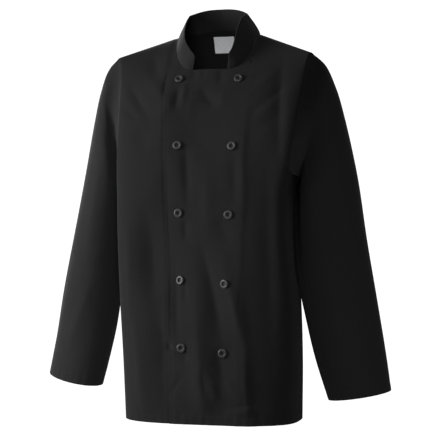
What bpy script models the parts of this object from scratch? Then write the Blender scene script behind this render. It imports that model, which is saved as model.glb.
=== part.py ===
"""A double-breasted chef jacket, filled out as it is worn, with nobody in it.

Metres, +Z up. The wearer faces -Y and their left is +X. Height 0 is the level of the two neck
points, where the shoulder seams meet the collar, and the middle plane is x = 0. The jacket is
cloth walls that meet at its seams: two fronts that overlap, a back, two sleeves and a stand
collar, with ten buttons and a bare neck label.
"""

import bmesh
import bpy
import numpy as np
from mathutils import Matrix, Vector

WALL = 0.0012  # one layer of the jacket's cloth with its turnings
COLLAR_WALL = 0.0016  # the collar is two layers with a stiffener between them
LABEL_WALL = 0.001
GAP = 0.0003  # left between pieces that are sewn together
ARMHOLE_GAP = 0.0006
LAP_GAP = 0.0010  # left between the two fronts where one lies on the other
TUCK = 0.0014  # the front underneath is pressed in by this much
TUCK_RUN = 0.020

HEM_HEIGHT = -0.738
UNDERARM_HEIGHT = -0.270
NECK_HALF = 0.078  # from the middle to a neck point
TIP_HALF = 0.1875  # from the middle to the end of a shoulder seam
TIP_DROP = 0.044
NECK_POINT_Y = 0.052
TIP_Y = -0.004
SHOULDER_SLOPE = TIP_DROP / (TIP_HALF - NECK_HALF)
SHOULDER_REACH = {"front": 0.150, "back": 0.120}  # below the shoulder seam, to full depth

FRONT_NECK_HEIGHT = -0.0757  # the straight neckline between the collar's ends
COLLAR_END = 0.034  # from the closing line to each end of the collar
BACK_NECK_HEIGHT = 0.0145
NECK_ROUNDING = 1.35  # power of the curve that the two shoulder seams are joined by

BUTTON_ROWS = 5
TOP_BUTTON_HEIGHT = -0.099
BUTTON_PITCH = 0.1252
TOP_BUTTON_HALF = 0.0565  # half the distance between the two columns, at the top
BOTTOM_BUTTON_HALF = 0.0390
BUTTON_DROOP = 0.004  # the lowest button of the left column hangs this far below its row
LAP_PAST_BUTTONS = 0.027
BUTTON_RADIUS = 0.0088

BUTTON_CLEARANCE = 0.0006  # a flat button on a curved front
BUTTON_SIDES = 24
LAP_DOWN_FROM = 0.095  # from the middle, where the top front starts to come down
LAP_DOWN_TO = 0.150

LABEL_GAP = 0.0006
LABEL_COLUMNS = 0.87  # columns of the back's mesh that the label covers, each way
LABEL_ROWS_FROM_TOP = 1.33  # rows from the back's neckline down to the label's top edge
LABEL_ROWS_DOWN = 2.63
LABEL_STEPS = 2

ARMHOLE_INSET = 0.011  # how far the armhole's edge is cut in from the side
ARMHOLE_STEPS = 11  # rows of the mesh from the underarm to the shoulder seam
TOP_STEPS = 4  # and those of them above the front's neckline
BODY_STEPS = 12
LAP_COLUMNS = 7
NECK_COLUMNS = 5
SIDE_COLUMNS = 8
SLEEVE_RINGS = 17
SLEEVE_SPREAD = 1.35  # the rings are closer together at the shoulder
COLLAR_ROWS = 3

CLOTH_COLOUR = (0.012, 0.012, 0.013)
CLOTH_ROUGHNESS = 0.85
MERGE_DISTANCE = 1e-6
SHARP_ANGLE = np.radians(40)
BUTTON_COLOUR = (0.014, 0.014, 0.015)
BUTTON_ROUGHNESS = 0.4
LABEL_COLOUR = (0.62, 0.63, 0.65)


def table(columns, rows):
    """A short table as one array for each named column."""
    return dict(zip(columns.split(), np.array(rows, float).T))


# The torso's sections, from the hem up. Depths are from the section's own middle.
TORSO = table(
    "height middle_x middle_y half_width front back squareness closing_x",
    [
        (-0.738, 0.001, 0.000, 0.1675, 0.110, 0.110, 2.5, 0.008),
        (-0.620, 0.000, -0.008, 0.1710, 0.108, 0.108, 2.5, 0.007),
        (-0.500, -0.004, -0.012, 0.1715, 0.104, 0.106, 2.6, 0.007),
        (-0.390, -0.011, -0.010, 0.1680, 0.100, 0.110, 2.6, 0.006),
        (-0.310, -0.012, -0.006, 0.1680, 0.096, 0.114, 2.8, 0.006),
        (-0.230, -0.006, -0.003, 0.1780, 0.088, 0.116, 3.2, 0.005),
        (-0.130, -0.001, 0.000, 0.1860, 0.066, 0.112, 3.6, 0.003),
        (-0.060, 0.000, 0.000, 0.1875, 0.040, 0.104, 3.6, 0.001),
        (0.020, 0.000, 0.000, 0.1880, 0.030, 0.098, 3.6, 0.000),
    ],
)

# Each sleeve's rings, from the shoulder down: the ring's point next to the body, its outer point,
# its middle and half depth along y, and its turn in degrees, which takes its outer side back.
SLEEVE_COLUMNS = "place inner_x inner_z outer_x outer_z middle_y half_depth turn"
SLEEVES = {
    1: table(
        SLEEVE_COLUMNS,
        [
            (0.00, 0.1870, -0.270, 0.1900, -0.044, 0.000, 0.058, 0),
            (0.06, 0.1750, -0.284, 0.2160, -0.068, -0.006, 0.061, 7),
            (0.13, 0.1640, -0.300, 0.2370, -0.112, -0.015, 0.062, 17),
            (0.22, 0.1590, -0.325, 0.2540, -0.168, -0.020, 0.063, 23),
            (0.35, 0.1590, -0.375, 0.2770, -0.270, -0.018, 0.061, 24),
            (0.52, 0.1620, -0.455, 0.2970, -0.398, -0.016, 0.057, 26),
            (0.68, 0.1750, -0.535, 0.3150, -0.506, -0.011, 0.053, 26),
            (0.84, 0.1970, -0.616, 0.3290, -0.596, -0.004, 0.049, 25),
            (1.00, 0.2220, -0.696, 0.3400, -0.678, 0.000, 0.045, 22),
        ],
    ),
    -1: table(
        SLEEVE_COLUMNS,
        [
            (0.00, 0.1870, -0.270, 0.1900, -0.044, 0.000, 0.058, 0),
            (0.06, 0.1860, -0.284, 0.2110, -0.070, 0.000, 0.063, 0),
            (0.13, 0.1855, -0.300, 0.2270, -0.112, 0.002, 0.066, 0),
            (0.22, 0.1845, -0.325, 0.2400, -0.167, 0.004, 0.067, 2),
            (0.35, 0.1840, -0.375, 0.2610, -0.270, 0.006, 0.066, 6),
            (0.52, 0.1855, -0.450, 0.2840, -0.395, 0.006, 0.062, 12),
            (0.68, 0.1920, -0.528, 0.3030, -0.496, 0.004, 0.058, 18),
            (0.84, 0.2060, -0.605, 0.3190, -0.583, 0.002, 0.053, 22),
            (1.00, 0.2240, -0.682, 0.3350, -0.658, 0.000, 0.047, 22),
        ],
    ),
}

# The largest folds of the fronts and of the back, from the upper end of each to its lower end.
FOLD_COLUMNS = "top_x top_z low_x low_z half_width out"
FOLDS = {
    "front": table(
        FOLD_COLUMNS,
        [
            (-0.002, -0.36, 0.028, -0.82, 0.016, -0.0050),
            (0.060, -0.40, 0.082, -0.82, 0.018, 0.0030),
            (0.100, -0.18, 0.165, -0.54, 0.018, 0.0040),
            (-0.150, -0.32, -0.060, -0.48, 0.018, -0.0040),
            (-0.165, -0.10, -0.090, -0.26, 0.018, 0.0030),
        ],
    ),
    "back": table(
        FOLD_COLUMNS,
        [
            (-0.064, -0.28, -0.048, -0.84, 0.022, -0.0050),
            (0.066, -0.36, 0.088, -0.86, 0.022, -0.0045),
            (0.012, -0.40, 0.020, -0.86, 0.020, 0.0035),
            (0.155, -0.18, 0.085, -0.44, 0.018, 0.0040),
            (-0.160, -0.21, -0.092, -0.42, 0.018, 0.0035),
        ],
    ),
}

# The largest folds of each sleeve: where along it and how far round from its outer side towards
# the front, half the length and half the angle of each, and how far it stands out.
SLEEVE_FOLD_COLUMNS = "place angle half_place half_angle out"
SLEEVE_FOLDS = {
    1: table(
        SLEEVE_FOLD_COLUMNS,
        [
            (0.30, 60, 0.10, 40, 0.0030),
            (0.50, 150, 0.05, 60, -0.0050),
            (0.66, 120, 0.06, 50, 0.0030),
            (0.55, 290, 0.06, 50, -0.0040),
        ],
    ),
    -1: table(
        SLEEVE_FOLD_COLUMNS,
        [
            (0.34, 70, 0.10, 40, 0.0030),
            (0.54, 140, 0.05, 60, -0.0050),
            (0.70, 100, 0.07, 50, 0.0030),
            (0.50, 280, 0.06, 50, -0.0040),
        ],
    ),
}

# The collar's upper edge above its seam, from the middle of the back to its front ends: how far
# it leans in on each side of the wearer and forwards, and how high it stands.
COLLAR = table(
    "place lean_left lean_right lean_forward rise",
    [
        (0.00, 0.000, 0.000, 0.010, 0.037),
        (0.25, 0.010, 0.018, 0.013, 0.040),
        (0.50, 0.018, 0.024, 0.020, 0.032),
        (0.75, 0.014, 0.019, 0.018, 0.033),
        (0.92, 0.000, 0.009, 0.010, 0.036),
        (0.97, -0.003, 0.007, 0.009, 0.035),
        (1.00, -0.004, 0.006, 0.008, 0.030),
    ],
)


def smooth(rows, column, at, along="height"):
    """A column read between its rows: a cubic through each pair, with the neighbours' slope."""
    place, value = rows[along], rows[column]
    slope = np.gradient(value, place)
    low = np.clip(np.searchsorted(place, at) - 1, 0, len(place) - 2)
    step = place[low + 1] - place[low]
    t = np.clip((at - place[low]) / step, 0.0, 1.0)
    start = (1 + 2 * t) * value[low] + t * step * slope[low]
    end = (3 - 2 * t) * value[low + 1] + (t - 1) * step * slope[low + 1]
    return (1 - t) ** 2 * start + t**2 * end


def folds(x, z, facing):
    """How far the largest folds stand out of the fronts or of the back.

    Each is a bell across its line, out * exp(-(distance / half_width)^2), and dies away towards
    both ends as (1 - s^2)^2 does, where s runs from -1 to 1 along it.
    """
    total = np.zeros_like(x)
    for top_x, top_z, low_x, low_z, half_width, out in zip(*FOLDS[facing].values()):
        run_x, run_z = low_x - top_x, low_z - top_z
        length = np.hypot(run_x, run_z)
        along = ((x - top_x) * run_x + (z - top_z) * run_z) / length**2
        distance = ((x - top_x) * run_z - (z - top_z) * run_x) / length
        s = np.clip(2 * along - 1, -1, 1)
        total += out * np.exp(-((distance / half_width) ** 2)) * (1 - s * s) ** 2
    return total


def sleeve_folds(place, t, side):
    """How far the largest folds stand out of a sleeve: a bell along it times one round it."""
    total = np.zeros_like(place + t)
    for at, angle, half_place, half_angle, out in zip(*SLEEVE_FOLDS[side].values()):
        past = (t - np.radians(angle) + np.pi) % (2 * np.pi) - np.pi
        bell = ((place - at) / half_place) ** 2 + (past / np.radians(half_angle)) ** 2
        total += out * np.exp(-bell)
    return total


def turn_at(x, z, facing):
    """How far from straight ahead or behind the section's point at x lies, to the left."""
    width = smooth(TORSO, "half_width", z)
    square = smooth(TORSO, "squareness", z)
    across = (x - smooth(TORSO, "middle_x", z)) / width
    away = (1 - np.minimum(np.abs(across), 1.0) ** square) ** (1 / square)
    return np.arctan2(across * width, away * smooth(TORSO, facing, z))


def edge_turn(z, facing):
    """The turn of the side seam and, above the underarm, of the armhole's edge: half an oval."""
    middle, half = armhole_oval()
    oval = np.sqrt(np.clip(1 - ((z - middle) / half) ** 2, 0, 1))
    width = smooth(TORSO, "half_width", z)
    square = smooth(TORSO, "squareness", z)
    x = width - ARMHOLE_INSET * oval
    away = (1 - (x / width) ** square) ** (1 / square)
    return np.arctan2(x, away * smooth(TORSO, facing, z))


def torso(turn, z, facing):
    """Points of the torso: a superellipse at each height, drawn back to the shoulder seam on top.

    The section's radius is (|sin/width|^n + |cos/depth|^n)^(-1/n). Above it, the distance in y
    from the shoulder seam shrinks as a quarter ellipse does, so front and back meet there.
    """
    square = smooth(TORSO, "squareness", z)
    across = np.abs(np.sin(turn)) / smooth(TORSO, "half_width", z)
    ahead = np.abs(np.cos(turn)) / smooth(TORSO, facing, z)
    radius = (across**square + ahead**square) ** (-1 / square)
    towards = -1 if facing == "front" else 1
    x = smooth(TORSO, "middle_x", z) + radius * np.sin(turn)
    y = smooth(TORSO, "middle_y", z) + towards * radius * np.cos(turn)
    from_neck = np.clip((np.abs(x) - NECK_HALF) / (TIP_HALF - NECK_HALF), 0, 1)
    seam_y = NECK_POINT_Y + (TIP_Y - NECK_POINT_Y) * from_neck
    in_neck = np.minimum(np.abs(x) / NECK_HALF, 1.0)
    over_neck = NECK_HALF * (1 - in_neck**NECK_ROUNDING) / NECK_ROUNDING
    past_neck = np.maximum(np.abs(x) - NECK_HALF, 0.0)
    seam_z = (over_neck - past_neck) * SHOULDER_SLOPE
    below = np.clip((seam_z - z) / SHOULDER_REACH[facing], 0.0, 1.0)
    drawn = np.sqrt(1 - (1 - below) ** 2)
    flatness = 1 - np.minimum(across * radius, 1.0) ** 6
    y = y + towards * folds(x, z, facing) * flatness
    y = seam_y + (y - seam_y) * drawn + towards * GAP / 2
    return np.stack([x, y, z + np.zeros_like(x)], axis=-1)


def normals(grid, closed=False):
    """Unit normals of a grid of points, from the steps along its rows and its columns.

    Where a column has ended, its last normal is used again.
    """
    if closed:
        wide = np.concatenate([grid[:, -1:], grid, grid[:, :1]], axis=1)
        across = (wide[:, 2:] - wide[:, :-2]) / 2
    else:
        across = np.gradient(grid, axis=1)
    normal = np.cross(across, np.gradient(grid, axis=0))
    size = np.linalg.norm(normal, axis=-1, keepdims=True)
    normal /= np.maximum(size, 1e-12)
    for row in range(1, len(grid)):
        ended = size[row] < 1e-12
        normal[row] = np.where(ended, normal[row - 1], normal[row])
    return normal


def lap_half(z):
    """From the closing line to a front's free edge, at a height."""
    down = (TOP_BUTTON_HEIGHT - z) / (BUTTON_PITCH * (BUTTON_ROWS - 1))
    return button_half(np.clip(down, 0.0, 1.0)) + LAP_PAST_BUTTONS


def button_half(down):
    """Half the distance between the button columns, at a fraction of the way down them."""
    return TOP_BUTTON_HALF + (BOTTOM_BUTTON_HALF - TOP_BUTTON_HALF) * down


def lap_out(grid):
    """How far a front that lies on top stands out, until it comes down to the side seam."""
    share = np.clip((grid[..., :1] - LAP_DOWN_FROM) / (LAP_DOWN_TO - LAP_DOWN_FROM), 0, 1)
    return (WALL + LAP_GAP) * (1 - share * share * (3 - 2 * share))


def tuck(grid):
    """How far a front that lies underneath is pressed in, from the other front's free edge on."""
    x, z = grid[..., :1], grid[..., 2:]
    past = x - smooth(TORSO, "closing_x", z) + lap_half(z)
    share = np.clip(past / TUCK_RUN, 0, 1)
    return TUCK * share * share * (3 - 2 * share)


def side_heights():
    """Heights of the rows at the side: even up to the underarm, then as the armhole's oval turns.

    One row lies at the front's straight neckline, so that both fronts have the same rows below it.
    """
    below = np.linspace(HEM_HEIGHT, UNDERARM_HEIGHT, BODY_STEPS, endpoint=False)
    middle, half = armhole_oval()
    neckline = np.arccos((middle - FRONT_NECK_HEIGHT) / half)
    turned = np.concatenate(
        [
            np.linspace(0, neckline, ARMHOLE_STEPS - TOP_STEPS, endpoint=False),
            np.linspace(neckline, np.pi, TOP_STEPS + 1),
        ]
    )
    return np.concatenate([below, middle - half * np.cos(turned)])[:, None]


def armhole_oval():
    """The middle height and the half height of an armhole."""
    return (UNDERARM_HEIGHT - TIP_DROP) / 2, (-TIP_DROP - UNDERARM_HEIGHT) / 2


def heights(top):
    """Heights of every row in columns that end at the given tops: alike up to the neckline."""
    side = side_heights()
    share = (side - FRONT_NECK_HEIGHT) / (-TIP_DROP - FRONT_NECK_HEIGHT)
    return np.where(share > 0, FRONT_NECK_HEIGHT + (top - FRONT_NECK_HEIGHT) * share, side)


def side_columns(side, facing):
    """Turns and heights from just past the neck point's column out to the side, row by row.

    The columns are evenly turned at the hem and evenly spaced in x along the shoulder seam.
    """
    share = np.linspace(0, 1, SIDE_COLUMNS + 1)[None, 1:]
    z = heights(-TIP_DROP * share)
    neck_x = side * NECK_HALF
    start = turn_at(neck_x + np.zeros_like(z), z, facing)
    last = side * (edge_turn(z, facing) - GAP / 2 / TIP_HALF)
    even_turn = start + (last - start) * share
    edge_x = torso(last, z, facing)[..., 0]
    even_x = turn_at(neck_x + (edge_x - neck_x) * share, z, facing)
    up = (side_heights() - HEM_HEIGHT) / (-TIP_DROP - HEM_HEIGHT)
    return even_turn + (even_x - even_turn) * up**2, z


def front_grid(side):
    """The grid of a front: rows from the hem up, columns from its free edge to its side.

    side is 1 for the wearer's left front, which lies on top, and -1 for the right one. Columns
    stand at an x of their own up to the neck point's, and at even turns from there to the side.
    """
    closing = smooth(TORSO, "closing_x", FRONT_NECK_HEIGHT)
    edge_x = closing - side * lap_half(FRONT_NECK_HEIGHT)
    end_x = closing + side * COLLAR_END
    lap_share = np.linspace(0, 1, LAP_COLUMNS + 1)[None, :]
    turned = np.sin(np.linspace(0, np.pi / 2, NECK_COLUMNS + 1))[None, 1:]
    lap_x = edge_x + (end_x - edge_x) * lap_share
    neck_x = end_x + (side * NECK_HALF - end_x) * turned
    top_x = np.concatenate([lap_x, neck_x], axis=1)
    rise = np.concatenate([np.zeros_like(lap_share), turned], axis=1)
    z = heights(FRONT_NECK_HEIGHT * np.sqrt(1 - rise**2))
    moved = smooth(TORSO, "closing_x", z) - side * lap_half(z) - edge_x
    swing = np.concatenate([1 - lap_share, np.zeros_like(turned)], axis=1)
    turn = turn_at(top_x + moved * swing, z, "front")
    side_turn, side_z = side_columns(side, "front")
    turn = np.concatenate([turn, side_turn], axis=1)
    z = np.concatenate([z, side_z], axis=1)
    grid = torso(turn, z, "front")
    out = lap_out(grid) if side > 0 else -tuck(grid)
    return grid + out * side * normals(grid)


def back_grid():
    """The grid of the back: rows from the hem up, columns from the left side to the right."""
    left, left_z = side_columns(1, "back")
    right, right_z = side_columns(-1, "back")
    turned = np.sin(np.linspace(np.pi / 2, -np.pi / 2, 2 * NECK_COLUMNS + 1))[None, :]
    z = heights(BACK_NECK_HEIGHT * (1 - np.abs(turned) ** NECK_ROUNDING))
    middle = turn_at(turned * NECK_HALF + np.zeros_like(z), z, "back")
    turn = np.concatenate([left[:, ::-1], middle, right], axis=1)
    z = np.concatenate([left_z[:, ::-1], z, right_z], axis=1)
    return torso(turn, z, "back")


def armhole(side):
    """The armhole's loop just outside the torso: from the tip down the front, and up the back."""
    z = side_heights()[BODY_STEPS:, 0]
    front = torso(side * edge_turn(z, "front"), z, "front")[::-1]
    back = torso(side * edge_turn(z, "back"), z, "back")
    loop = np.concatenate([front, back[1:-1]])
    return loop + np.array([side * ARMHOLE_GAP, 0, 0])


def sleeve_grid(side):
    """The rings of a sleeve: the armhole's loop, then ovals round the arm, down to the cuff.

    A ring's point at angle t is its middle + (half its inner-to-outer line) cos t + (half its
    depth) sin t, and both of these are turned about +Z by the ring's own turn.
    """
    place = np.linspace(0, 1, SLEEVE_RINGS + 1)[1:, None] ** SLEEVE_SPREAD
    read = {name: smooth(SLEEVES[side], name, place, "place") for name in SLEEVES[side]}
    t = np.linspace(0, 2 * np.pi, 2 * ARMHOLE_STEPS, endpoint=False)[None, :]
    turn = np.radians(read["turn"])
    half_x = (read["outer_x"] - read["inner_x"]) / 2
    half_z = (read["outer_z"] - read["inner_z"]) / 2
    out = sleeve_folds(place, t, side)
    width = (half_x + out) * np.cos(t)
    depth = (read["half_depth"] + out) * np.sin(t)
    x = read["inner_x"] + half_x + np.cos(turn) * width + np.sin(turn) * depth
    y = read["middle_y"] + np.sin(turn) * width - np.cos(turn) * depth
    z = read["inner_z"] + half_z + half_z * np.cos(t)
    rings = np.stack([side * x, y, z], axis=-1)
    return np.concatenate([armhole(side)[None], rings])


def collar_grid():
    """The collar: rows up from the neckline seam, columns from its left end round to its right.

    A row moves the seam's points in towards the middle, forwards and up, by a share of what the
    collar's own table says at that point's place between the back's middle and the front ends.
    """
    first, last = LAP_COLUMNS, LAP_COLUMNS + NECK_COLUMNS
    left = front_grid(1)[-1, first : last + 1]
    right = front_grid(-1)[-1, first : last + 1]
    back = back_grid()[-1, SIDE_COLUMNS + 1 : -SIDE_COLUMNS - 1]
    seam = np.concatenate([left, back, right[::-1]])
    step = np.linalg.norm(np.diff(seam, axis=0), axis=1)
    run = np.concatenate([[0], np.cumsum(step)])
    place = np.abs(2 * run / run[-1] - 1)
    up = np.linspace(0, 1, COLLAR_ROWS + 1)[:, None]
    lean = {name: smooth(COLLAR, name, place, "place")[None] for name in COLLAR}
    left_side = seam[None, :, 0] > 0
    lean_in = np.where(left_side, lean["lean_left"], -lean["lean_right"])
    x = seam[None, :, 0] - lean_in * up
    y = seam[None, :, 1] - lean["lean_forward"] * up
    z = seam[None, :, 2] + GAP + lean["rise"] * up
    return np.stack([x, y, z], axis=-1)


def material(name, colour, roughness):
    """A plain Principled material."""
    made = bpy.data.materials.new(name)
    made.use_nodes = True
    shader = made.node_tree.nodes["Principled BSDF"]
    shader.inputs["Base Color"].default_value = (*colour, 1.0)
    shader.inputs["Roughness"].default_value = roughness
    return made


def wall_points(grid, wall, side, closed, seams):
    """The inner face of a wall: the grid's points moved in along its normals.

    seams lists places of the grid with the axes that the wall keeps to there, so that the two
    pieces of a seam stand alike and keep their gap right through.
    """
    inward = -side * normals(grid, closed)
    for place, axes in seams:
        kept = inward[place] * np.array(axes)
        inward[place] = kept / np.linalg.norm(kept, axis=-1, keepdims=True)
    return grid + wall * inward


def cloth(name, grid, wall, colour, side=1, closed=False, seams=()):
    """One piece of cloth as a closed wall: the grid is its outer face.

    side is 1 where the grid's columns and rows turn its normals outwards, and -1 where they turn
    them inwards. Points that fall together are merged, which closes the columns that end early.
    """
    inner = wall_points(grid, wall, side, closed, seams)
    rows, columns = grid.shape[:2]
    outer_index = np.arange(rows * columns).reshape(rows, columns)
    if closed:
        outer_index = np.concatenate([outer_index, outer_index[:, :1]], axis=1)
    inner_index = outer_index + rows * columns

    def quads(low, high):
        return np.stack([low[:-1], low[1:], high[1:], high[:-1]], axis=-1)

    faces = [quads(outer_index[r], outer_index[r + 1]) for r in range(rows - 1)]
    faces += [quads(inner_index[r], inner_index[r + 1])[:, ::-1] for r in range(rows - 1)]
    faces += [quads(inner_index[0], outer_index[0]), quads(outer_index[-1], inner_index[-1])]
    if not closed:
        faces += [quads(outer_index[:, 0], inner_index[:, 0])]
        faces += [quads(inner_index[:, -1], outer_index[:, -1])]
    faces = np.concatenate(faces)[:, ::side]
    points = np.concatenate([grid, inner]).reshape(-1, 3)
    mesh = bpy.data.meshes.new(name)
    mesh.from_pydata(points.tolist(), [], faces.tolist())
    merged = bmesh.new()
    merged.from_mesh(mesh)
    bmesh.ops.remove_doubles(merged, verts=merged.verts, dist=MERGE_DISTANCE)
    merged.to_mesh(mesh)
    merged.free()
    mesh.shade_smooth()
    mesh.set_sharp_from_angle(angle=SHARP_ANGLE)
    mesh.materials.append(material(name, colour, CLOTH_ROUGHNESS))
    piece = bpy.data.objects.new(name, mesh)
    bpy.context.collection.objects.link(piece)
    return piece


def front_frame(x, z):
    """Where a button sits on the left front: a point just off its outer face, facing outwards."""

    reach = BUTTON_RADIUS * np.array([-1, 0, 1])
    at_z = (z + reach)[:, None]
    patch = torso(turn_at((x + reach)[None, :], at_z, "front"), at_z, "front")
    across = Vector(patch[1, 2] - patch[1, 0]).normalized()
    upward = Vector(patch[2, 1] - patch[0, 1]).normalized()
    outward = across.cross(upward).normalized()
    level = outward.cross(across)
    turned = Matrix((across, level, outward)).transposed().to_4x4()
    foot = Vector(patch[1, 1]) + outward * (WALL + LAP_GAP + BUTTON_CLEARANCE)
    return Matrix.Translation(foot) @ turned


def button_mesh():
    """A button with a raised rim round a sunken middle: one profile turned about +Z."""
    radius = BUTTON_RADIUS
    profile = np.array(
        [
            (0.0, 0.0),
            (0.80 * radius, 0.0),
            (radius, 0.32 * radius),
            (0.93 * radius, 0.50 * radius),
            (0.74 * radius, 0.52 * radius),
            (0.60 * radius, 0.34 * radius),
            (0.0, 0.30 * radius),
        ]
    )
    t = np.linspace(0, 2 * np.pi, BUTTON_SIDES, endpoint=False)
    ring = profile[1:-1]
    x = ring[:, :1] * np.cos(t)
    y = ring[:, :1] * np.sin(t)
    z = np.repeat(ring[:, 1:], BUTTON_SIDES, axis=1)
    points = np.stack([x, y, z], axis=-1).reshape(-1, 3).tolist()
    points += [(0, 0, float(profile[0, 1])), (0, 0, float(profile[-1, 1]))]
    bottom, top = len(points) - 2, len(points) - 1
    index = np.arange(len(ring) * BUTTON_SIDES).reshape(len(ring), BUTTON_SIDES)
    after = np.roll(index, -1, axis=1)
    sides = np.stack([index[:-1], after[:-1], after[1:], index[1:]], axis=-1)
    faces = sides.reshape(-1, 4).tolist()
    faces += [(int(b), int(a), bottom) for a, b in zip(index[0], after[0])]
    faces += [(int(a), int(b), top) for a, b in zip(index[-1], after[-1])]
    mesh = bpy.data.meshes.new("button")
    mesh.from_pydata(points, [], faces)
    mesh.shade_smooth()
    mesh.set_sharp_from_angle(angle=SHARP_ANGLE)
    return mesh


def add_buttons():
    """Two columns of buttons, closer together from the top down."""
    mesh = button_mesh()
    mesh.materials.append(material("button", BUTTON_COLOUR, BUTTON_ROUGHNESS))
    for row in range(BUTTON_ROWS):
        down = row / (BUTTON_ROWS - 1)
        for side, word in ((1, "left"), (-1, "right")):
            z = TOP_BUTTON_HEIGHT - BUTTON_PITCH * row - side * BUTTON_DROOP * down
            x = float(smooth(TORSO, "closing_x", z)) + side * button_half(down)
            button = bpy.data.objects.new(f"button_{row + 1}_{word}", mesh)
            button.matrix_world = front_frame(x, z)
            bpy.context.collection.objects.link(button)


def label_grid():
    """The neck label, on the inside of the back: points read between those of the back's wall."""
    back = back_grid()
    inside = wall_points(back, WALL + LABEL_GAP, 1, False, back_seams())
    middle = SIDE_COLUMNS + NECK_COLUMNS
    top = BODY_STEPS + ARMHOLE_STEPS
    row = top - np.linspace(LABEL_ROWS_DOWN, LABEL_ROWS_FROM_TOP, LABEL_STEPS + 1)
    column = middle + np.linspace(-LABEL_COLUMNS, LABEL_COLUMNS, 2 * LABEL_STEPS + 1)
    low, left = np.floor(row).astype(int)[:, None], np.floor(column).astype(int)[None, :]
    up, over = (row[:, None] - low)[..., None], (column[None, :] - left)[..., None]
    near = inside[low, left] * (1 - over) + inside[low, left + 1] * over
    far = inside[low + 1, left] * (1 - over) + inside[low + 1, left + 1] * over
    return near * (1 - up) + far * up


def front_seams():
    """A front's side seam, where its wall stands across x, and its shoulder seam, across z."""
    shoulder = LAP_COLUMNS + NECK_COLUMNS
    return [(np.s_[: BODY_STEPS + 1, -1:], (1, 0, 0)), (np.s_[-1:, shoulder:], (0, 0, 1))]


def back_seams():
    """The back's two side seams and its two shoulder seams."""
    sides = [(np.s_[: BODY_STEPS + 1, end], (1, 0, 0)) for end in (slice(0, 1), slice(-1, None))]
    left, right = slice(0, SIDE_COLUMNS + 1), slice(-SIDE_COLUMNS - 1, None)
    return sides + [(np.s_[-1:, ends], (0, 0, 1)) for ends in (left, right)]


def sleeve_seams():
    """A sleeve's first ring, where its wall stands across the armhole's edge."""
    return [(np.s_[:1], (0, 1, 1))]


def build():
    """Clears the scene and makes every piece."""
    for old in list(bpy.data.objects):
        bpy.data.objects.remove(old, do_unlink=True)
    for side, word in ((1, "left"), (-1, "right")):
        front, sleeve = front_grid(side), sleeve_grid(side)
        cloth(f"front_{word}", front, WALL, CLOTH_COLOUR, side, False, front_seams())
        cloth(f"sleeve_{word}", sleeve, WALL, CLOTH_COLOUR, side, True, sleeve_seams())
    cloth("back", back_grid(), WALL, CLOTH_COLOUR, seams=back_seams())
    cloth("collar", collar_grid(), COLLAR_WALL, CLOTH_COLOUR)
    cloth("neck_label", label_grid(), LABEL_WALL, LABEL_COLOUR)
    add_buttons()


build()
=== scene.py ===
# %% [markdown]
# # A double-breasted chef jacket in Blender
#
# The jacket is black poly-cotton twill: two fronts that overlap under two columns of rimmed
# buttons, a back, two set-in sleeves and a stand collar. It stands filled out, as it does on a
# wearer, with nobody in it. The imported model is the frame: it gives the place and the size of
# every piece, and the cloth, the stitches and the buttons here are made again over it in finer
# form. Nothing of the frame itself is moved.

import bpy
import numpy as np
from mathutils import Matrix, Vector


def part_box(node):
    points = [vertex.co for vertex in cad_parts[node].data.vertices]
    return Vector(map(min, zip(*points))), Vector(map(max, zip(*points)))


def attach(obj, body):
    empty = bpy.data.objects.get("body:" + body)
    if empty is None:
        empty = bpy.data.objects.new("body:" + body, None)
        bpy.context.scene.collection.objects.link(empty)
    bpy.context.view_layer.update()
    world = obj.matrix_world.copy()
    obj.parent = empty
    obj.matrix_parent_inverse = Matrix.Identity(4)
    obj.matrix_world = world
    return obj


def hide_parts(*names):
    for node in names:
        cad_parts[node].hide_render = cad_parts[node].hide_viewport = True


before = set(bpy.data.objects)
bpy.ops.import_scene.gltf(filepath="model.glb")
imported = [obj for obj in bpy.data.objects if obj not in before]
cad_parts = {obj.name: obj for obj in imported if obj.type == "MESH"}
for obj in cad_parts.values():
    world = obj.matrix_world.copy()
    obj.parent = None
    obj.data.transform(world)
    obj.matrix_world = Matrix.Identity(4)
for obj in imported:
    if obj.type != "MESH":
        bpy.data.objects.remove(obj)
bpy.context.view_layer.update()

# %% [markdown]
# ## The camera
#
# A catalogue view of a garment is taken level, from far away, so that the sleeves and the hem
# keep their proportions. A long lens at 2.8 m does that here. The camera stands 14 degrees to the
# wearer's left and looks at the middle of the jacket.

# %% Camera
AIM = Vector((0.0, 0.045, -0.36))
CAMERA_DISTANCE = 2.8
CAMERA_TURN = np.radians(14)
CAMERA_SIDE = Vector((float(np.cos(CAMERA_TURN)), float(np.sin(CAMERA_TURN)), 0.0))
CAMERA_BACK = Vector((float(np.sin(CAMERA_TURN)), -float(np.cos(CAMERA_TURN)), 0.0))


def aimed(thing, at):
    """Turns an object so that its own -Z axis points from where it is to a point."""
    thing.rotation_euler = (at - thing.location).to_track_quat("-Z", "Y").to_euler()


camera = bpy.data.objects.new("camera", bpy.data.cameras.new("camera"))
camera.data.lens = 117.5
camera.data.sensor_width = 36.0
camera.location = AIM + CAMERA_BACK * CAMERA_DISTANCE
aimed(camera, AIM)
bpy.context.collection.objects.link(camera)
bpy.context.scene.camera = camera
print("camera at", [round(value, 3) for value in camera.location])

# %% [markdown]
# ## The sizes
#
# A pattern cutter starts from a list of measurements, and so does this model. Heights are
# measured from the two neck points, where the shoulder seams meet the collar. Everything is
# worked out from these numbers, so a change to one of them moves the cloth around it.

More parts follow.
